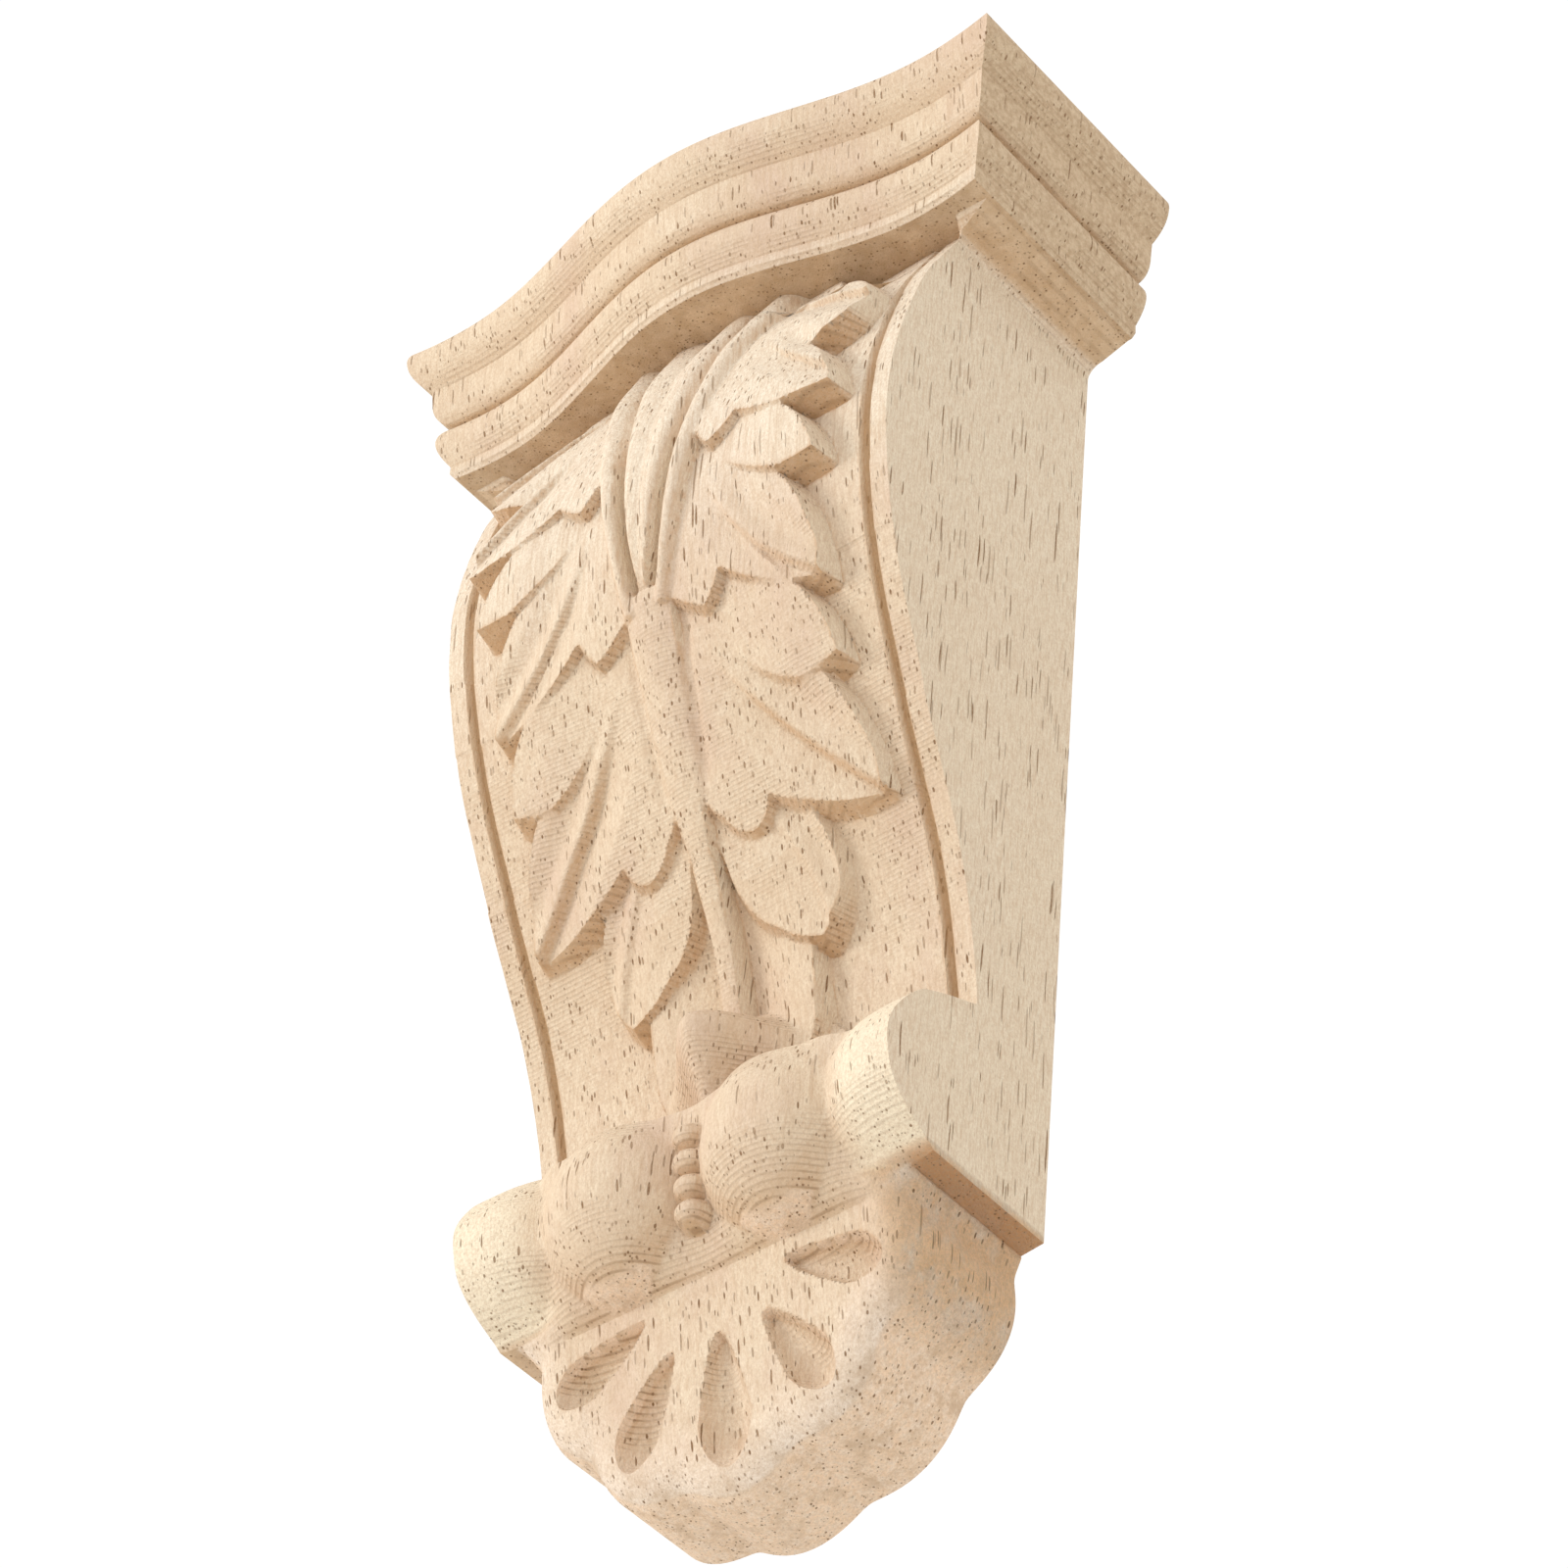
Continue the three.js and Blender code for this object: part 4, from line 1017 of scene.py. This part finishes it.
def plain(name, rgb, roughness):
    material = bpy.data.materials.new(name)
    n = Nodes(material)
    place = n.stretch(n.add("ShaderNodeTexCoord").outputs["Object"], (3, 3, 3))
    paler = [min(v + 3, 255) for v in rgb]
    share = n.span(n.noise(place).outputs[0], 0.3, 0.7)
    colour = n.blend(share, linear(rgb), linear(paler))
    shader = n.add("ShaderNodeBsdfPrincipled", {"Base Color": colour, "Roughness": roughness})
    n.add("ShaderNodeOutputMaterial", {"Surface": shader.outputs[0]})
    return material


# settings


def length_of(name, words, default, **limits):
    return bpy.props.FloatProperty(name=name, description=words + ", in mm", default=default, **limits)


class CorbelSizes(bpy.types.PropertyGroup):
    pitch: length_of("Carving pitch", "Mesh pitch of the carved face", 0.37, min=0.3)
    groove_inset: length_of("Groove inset", "Arris to the middle of the groove", 3.4)
    groove_width: length_of("Groove width", "Width of the groove", 1.5)
    groove_depth: length_of("Groove depth", "Depth of the groove", 1.0)
    leaf_draft: length_of("Leaf draft", "Run-out of the leaf's cut edges", 0.9)
    stem_relief: length_of("Stem relief", "Height of the stems above the ground", 6.6)
    rib_relief: length_of("Rib relief", "Height of the middle rib where it leaves the stems", 5.0)
    ball_relief: length_of("Ball relief", "Height of each ball past its ground", 10.8)
    bead_relief: length_of("Bead relief", "Height of each bead past its ground", 2.5)
    flute_depth: length_of("Flute depth", "Depth of the drops in the shell", 3.2)
    foot_round: length_of("Foot edge", "Radius of the shell's front edge", 4.5)
    unevenness: length_of("Unevenness", "Hand-worked waviness of the surface", 0.07)


SIZE_NAMES = list(CorbelSizes.__annotations__)


def shade_of(name, words, rgb):
    shade = [v / 255 for v in rgb]
    return bpy.props.FloatVectorProperty(
        name=name, description=words, subtype="COLOR", size=3, min=0, max=1, default=shade
    )


class CorbelLook(bpy.types.PropertyGroup):
    cream: shade_of("Cream", "Lightest growth rings", (244, 226, 200))
    tan: shade_of("Tan", "Darker growth rings", (231, 208, 179))
    pink: shade_of("Pink", "Pinkish clouds in the wood", (226, 199, 176))
    # paler colour laid over the upper half
    paler_top: shade_of("Paler top", "Paler wood in the upper half", (250, 238, 218))
    streak: shade_of("Streak", "Fine streaks along the grain", (207, 177, 146))
    flank: shade_of("Flank", "Sawn sides", (238, 222, 196))
    # painted shade laid on surfaces that face down
    under_shade: shade_of("Under", "Surfaces that face down", (220, 188, 154))
    end_grain: shade_of("End grain", "Surfaces cut across the grain", (226, 196, 160))
    end_grain_dark: shade_of("Dark end grain", "Darker patches of the end grain", (208, 174, 134))
    cap_end: shade_of("Cap end", "Ends of the cap", (218, 194, 162))
    cap_end_dark: shade_of("Dark cap end", "Darker specks on the ends of the cap", (192, 164, 132))
    # painted light on the fronts of the ears, not a paler wood
    ear: shade_of("Ear", "Paler wood of the ears", (255, 240, 212))
    # rough-cut colour and painted shade on the steep cuts
    cut: shade_of("Cut", "Steep cuts of the carving", (204, 160, 116))
    rim: shade_of("Rim", "Rounded rim of the shell", (255, 236, 216))
    rim_wall: shade_of("Rim wall", "Sawn rim of the shell", (252, 217, 182))
    torn: shade_of("Torn", "Torn wood at the ledge", (255, 204, 148))
    ledge: shade_of("Ledge", "Underside of the ledge", (214, 154, 104))
    pore: shade_of("Pore", "Open pores", (128, 92, 58))
    # painted shade for the bottom of the groove
    groove: shade_of("Groove", "Bottom of the groove", (190, 150, 104))
    ring_pitch: length_of("Ring pitch", "Distance between growth rings", 4.3)
    mark_pitch: length_of("Mark pitch", "Distance between cutter marks", 0.57)
    mark_depth: length_of("Mark depth", "Depth of the cutter marks", 0.05)


LOOK_NAMES = list(CorbelLook.__annotations__)
LOOK_LENGTHS = ("ring_pitch", "mark_pitch", "mark_depth")


def sizes_now():
    settings = bpy.context.scene.corbel_sizes
    return {name: getattr(settings, name) for name in SIZE_NAMES}


def look_now():
    """Colours as display values in 0 to 255, and lengths in mm."""
    settings = bpy.context.scene.corbel_look
    look = {}
    for name in LOOK_NAMES:
        value = getattr(settings, name)
        look[name] = value if name in LOOK_LENGTHS else [255 * v for v in value]
    return look


# operators


def note_marks_and_shade(corbel, sizes):
    """Notes on each point of the mesh how far it is groove, steep cut, rim or cutter ridge; the groove
    and steep-cut shares carry painted shade.
    """
    co = positions(corbel) / MM
    x = co[:, 0]
    t = TOP_Z - co[:, 2]
    off = np.abs(half_width(t) - sizes["groove_inset"] - np.abs(x))
    front = (co[:, 1] < -8) & (t > SOFFIT + 0.5)
    cut, rim, ridged = marks_and_shade(x, t, sizes)
    shares = {
        "groove": np.where(front & (t < GROOVE_END - 0.5), 1 - smooth(off, 0.35, 0.8), 0),
        "cut": np.where(front, cut, 0),
        "rim": rim,
        "ridged": np.where(front, ridged, 0),
    }
    for name, share in shares.items():
        note = corbel.data.attributes.new(name, "FLOAT", "POINT")
        note.data.foreach_set("value", share.astype(np.float32))


class CORBEL_OT_carve(bpy.types.Operator):
    """Carve the corbel: relief, outline and moulded cap in one closed mesh"""

    bl_idname = "corbel.carve"
    bl_label = "Carve Corbel"

    def execute(self, context):
        sizes = sizes_now()
        deselect_all()
        corbel = carved_block(sizes)
        deselect_all()
        combine(corbel, outline_block(), "INTERSECT")
        deselect_all()
        combine(corbel, cap_block(), "UNION")
        named(corbel, "carved_corbel")
        note_marks_and_shade(corbel, sizes)
        deselect_all()
        context.view_layer.objects.active = corbel
        corbel.select_set(True)
        bpy.ops.object.shade_smooth_by_angle(angle=math.radians(38))
        corbel.data.materials.clear()
        corbel.data.materials.append(rubberwood(look_now()))
        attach(corbel, "root")
        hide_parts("corbel")
        return {"FINISHED"}


def area_light(name, place, aim, size, power):
    bpy.ops.object.light_add(type="AREA", location=place)
    lamp = bpy.context.object
    lamp.name = name
    lamp.data.shape = "DISK"
    lamp.data.size = size
    lamp.data.energy = power
    lamp.rotation_euler = (Vector(aim) - Vector(place)).to_track_quat("-Z", "Y").to_euler()
    return lamp


def white_room():
    world = bpy.data.worlds.new("white_room")
    world.use_nodes = True
    background = world.node_tree.nodes["Background"]
    background.inputs["Color"].default_value = (1, 1, 1, 1)
    background.inputs["Strength"].default_value = 1.05
    return world


def add_viewpoint():
    """Camera at the picture's viewing angle, turned a little about its own axis."""
    level = math.cos(VIEW_ELEVATION)
    away = Vector(
        (math.sin(VIEW_AZIMUTH) * level, -math.cos(VIEW_AZIMUTH) * level, -math.sin(VIEW_ELEVATION))
    )
    right = Vector((math.cos(VIEW_AZIMUTH), math.sin(VIEW_AZIMUTH), 0))
    up = away.cross(right)
    across = right * math.cos(VIEW_ROLL) + up * math.sin(VIEW_ROLL)
    upward = up * math.cos(VIEW_ROLL) - right * math.sin(VIEW_ROLL)
    eye = across * VIEW_SHIFT[0] + upward * VIEW_SHIFT[1] + away * VIEW_DISTANCE
    eye = eye * VIEW_UNIT + Vector((0, 0, TOP_Z * MM))
    bpy.ops.object.camera_add(location=eye)
    camera = bpy.context.object
    camera.name = "viewpoint"
    camera.matrix_world = Matrix.Translation(eye) @ Matrix((across, upward, away)).transposed().to_4x4()
    camera.data.sensor_width = SENSOR_WIDTH
    camera.data.lens = FOCAL_LENGTH / PICTURE_WIDTH * SENSOR_WIDTH
    camera.data.clip_start = 0.01
    return camera


class CORBEL_OT_stage(bpy.types.Operator):
    """Set up the pale floor, the soft light and the camera below the corbel"""

    bl_idname = "corbel.stage"
    bl_label = "Set Up Stage"

    def execute(self, context):
        deselect_all()
        bpy.ops.mesh.primitive_plane_add(size=12, location=(0, 0, -0.95))
        floor = named(bpy.context.object, "floor")
        bpy.ops.object.transform_apply(location=True, rotation=True, scale=True)
        floor.data.materials.append(plain("pale_floor", (238, 238, 236), 0.8))
        context.scene.world = white_room()
        context.scene.view_settings.view_transform = "Standard"
        area_light("front_left", (-0.75, -0.8, 0.15), (0, -0.02, 0), 0.4, 5)
        context.scene.camera = add_viewpoint()
        return {"FINISHED"}


class CORBEL_PT_panel(bpy.types.Panel):
    """Settings and steps of the corbel"""

    bl_label = "Corbel"
    bl_idname = "CORBEL_PT_panel"
    bl_space_type = "VIEW_3D"
    bl_region_type = "UI"
    bl_category = "Corbel"

    def draw(self, context):
        scene = context.scene
        for settings, names in ((scene.corbel_sizes, SIZE_NAMES), (scene.corbel_look, LOOK_NAMES)):
            box = self.layout.box()
            for name in names:
                box.prop(settings, name)
        for operator in OPERATORS:
            self.layout.operator(operator.bl_idname)


OPERATORS = [CORBEL_OT_carve, CORBEL_OT_stage]
CLASSES = [CorbelSizes, CorbelLook, *OPERATORS, CORBEL_PT_panel]


def register():
    for cls in CLASSES:
        bpy.utils.register_class(cls)
    bpy.types.Scene.corbel_sizes = bpy.props.PointerProperty(type=CorbelSizes)
    bpy.types.Scene.corbel_look = bpy.props.PointerProperty(type=CorbelLook)


def unregister():
    del bpy.types.Scene.corbel_look
    del bpy.types.Scene.corbel_sizes
    for cls in reversed(CLASSES):
        bpy.utils.unregister_class(cls)


def main():
    register()
    bpy.ops.corbel.stage()
    bpy.ops.corbel.carve()


if __name__ == "__main__":
    main()
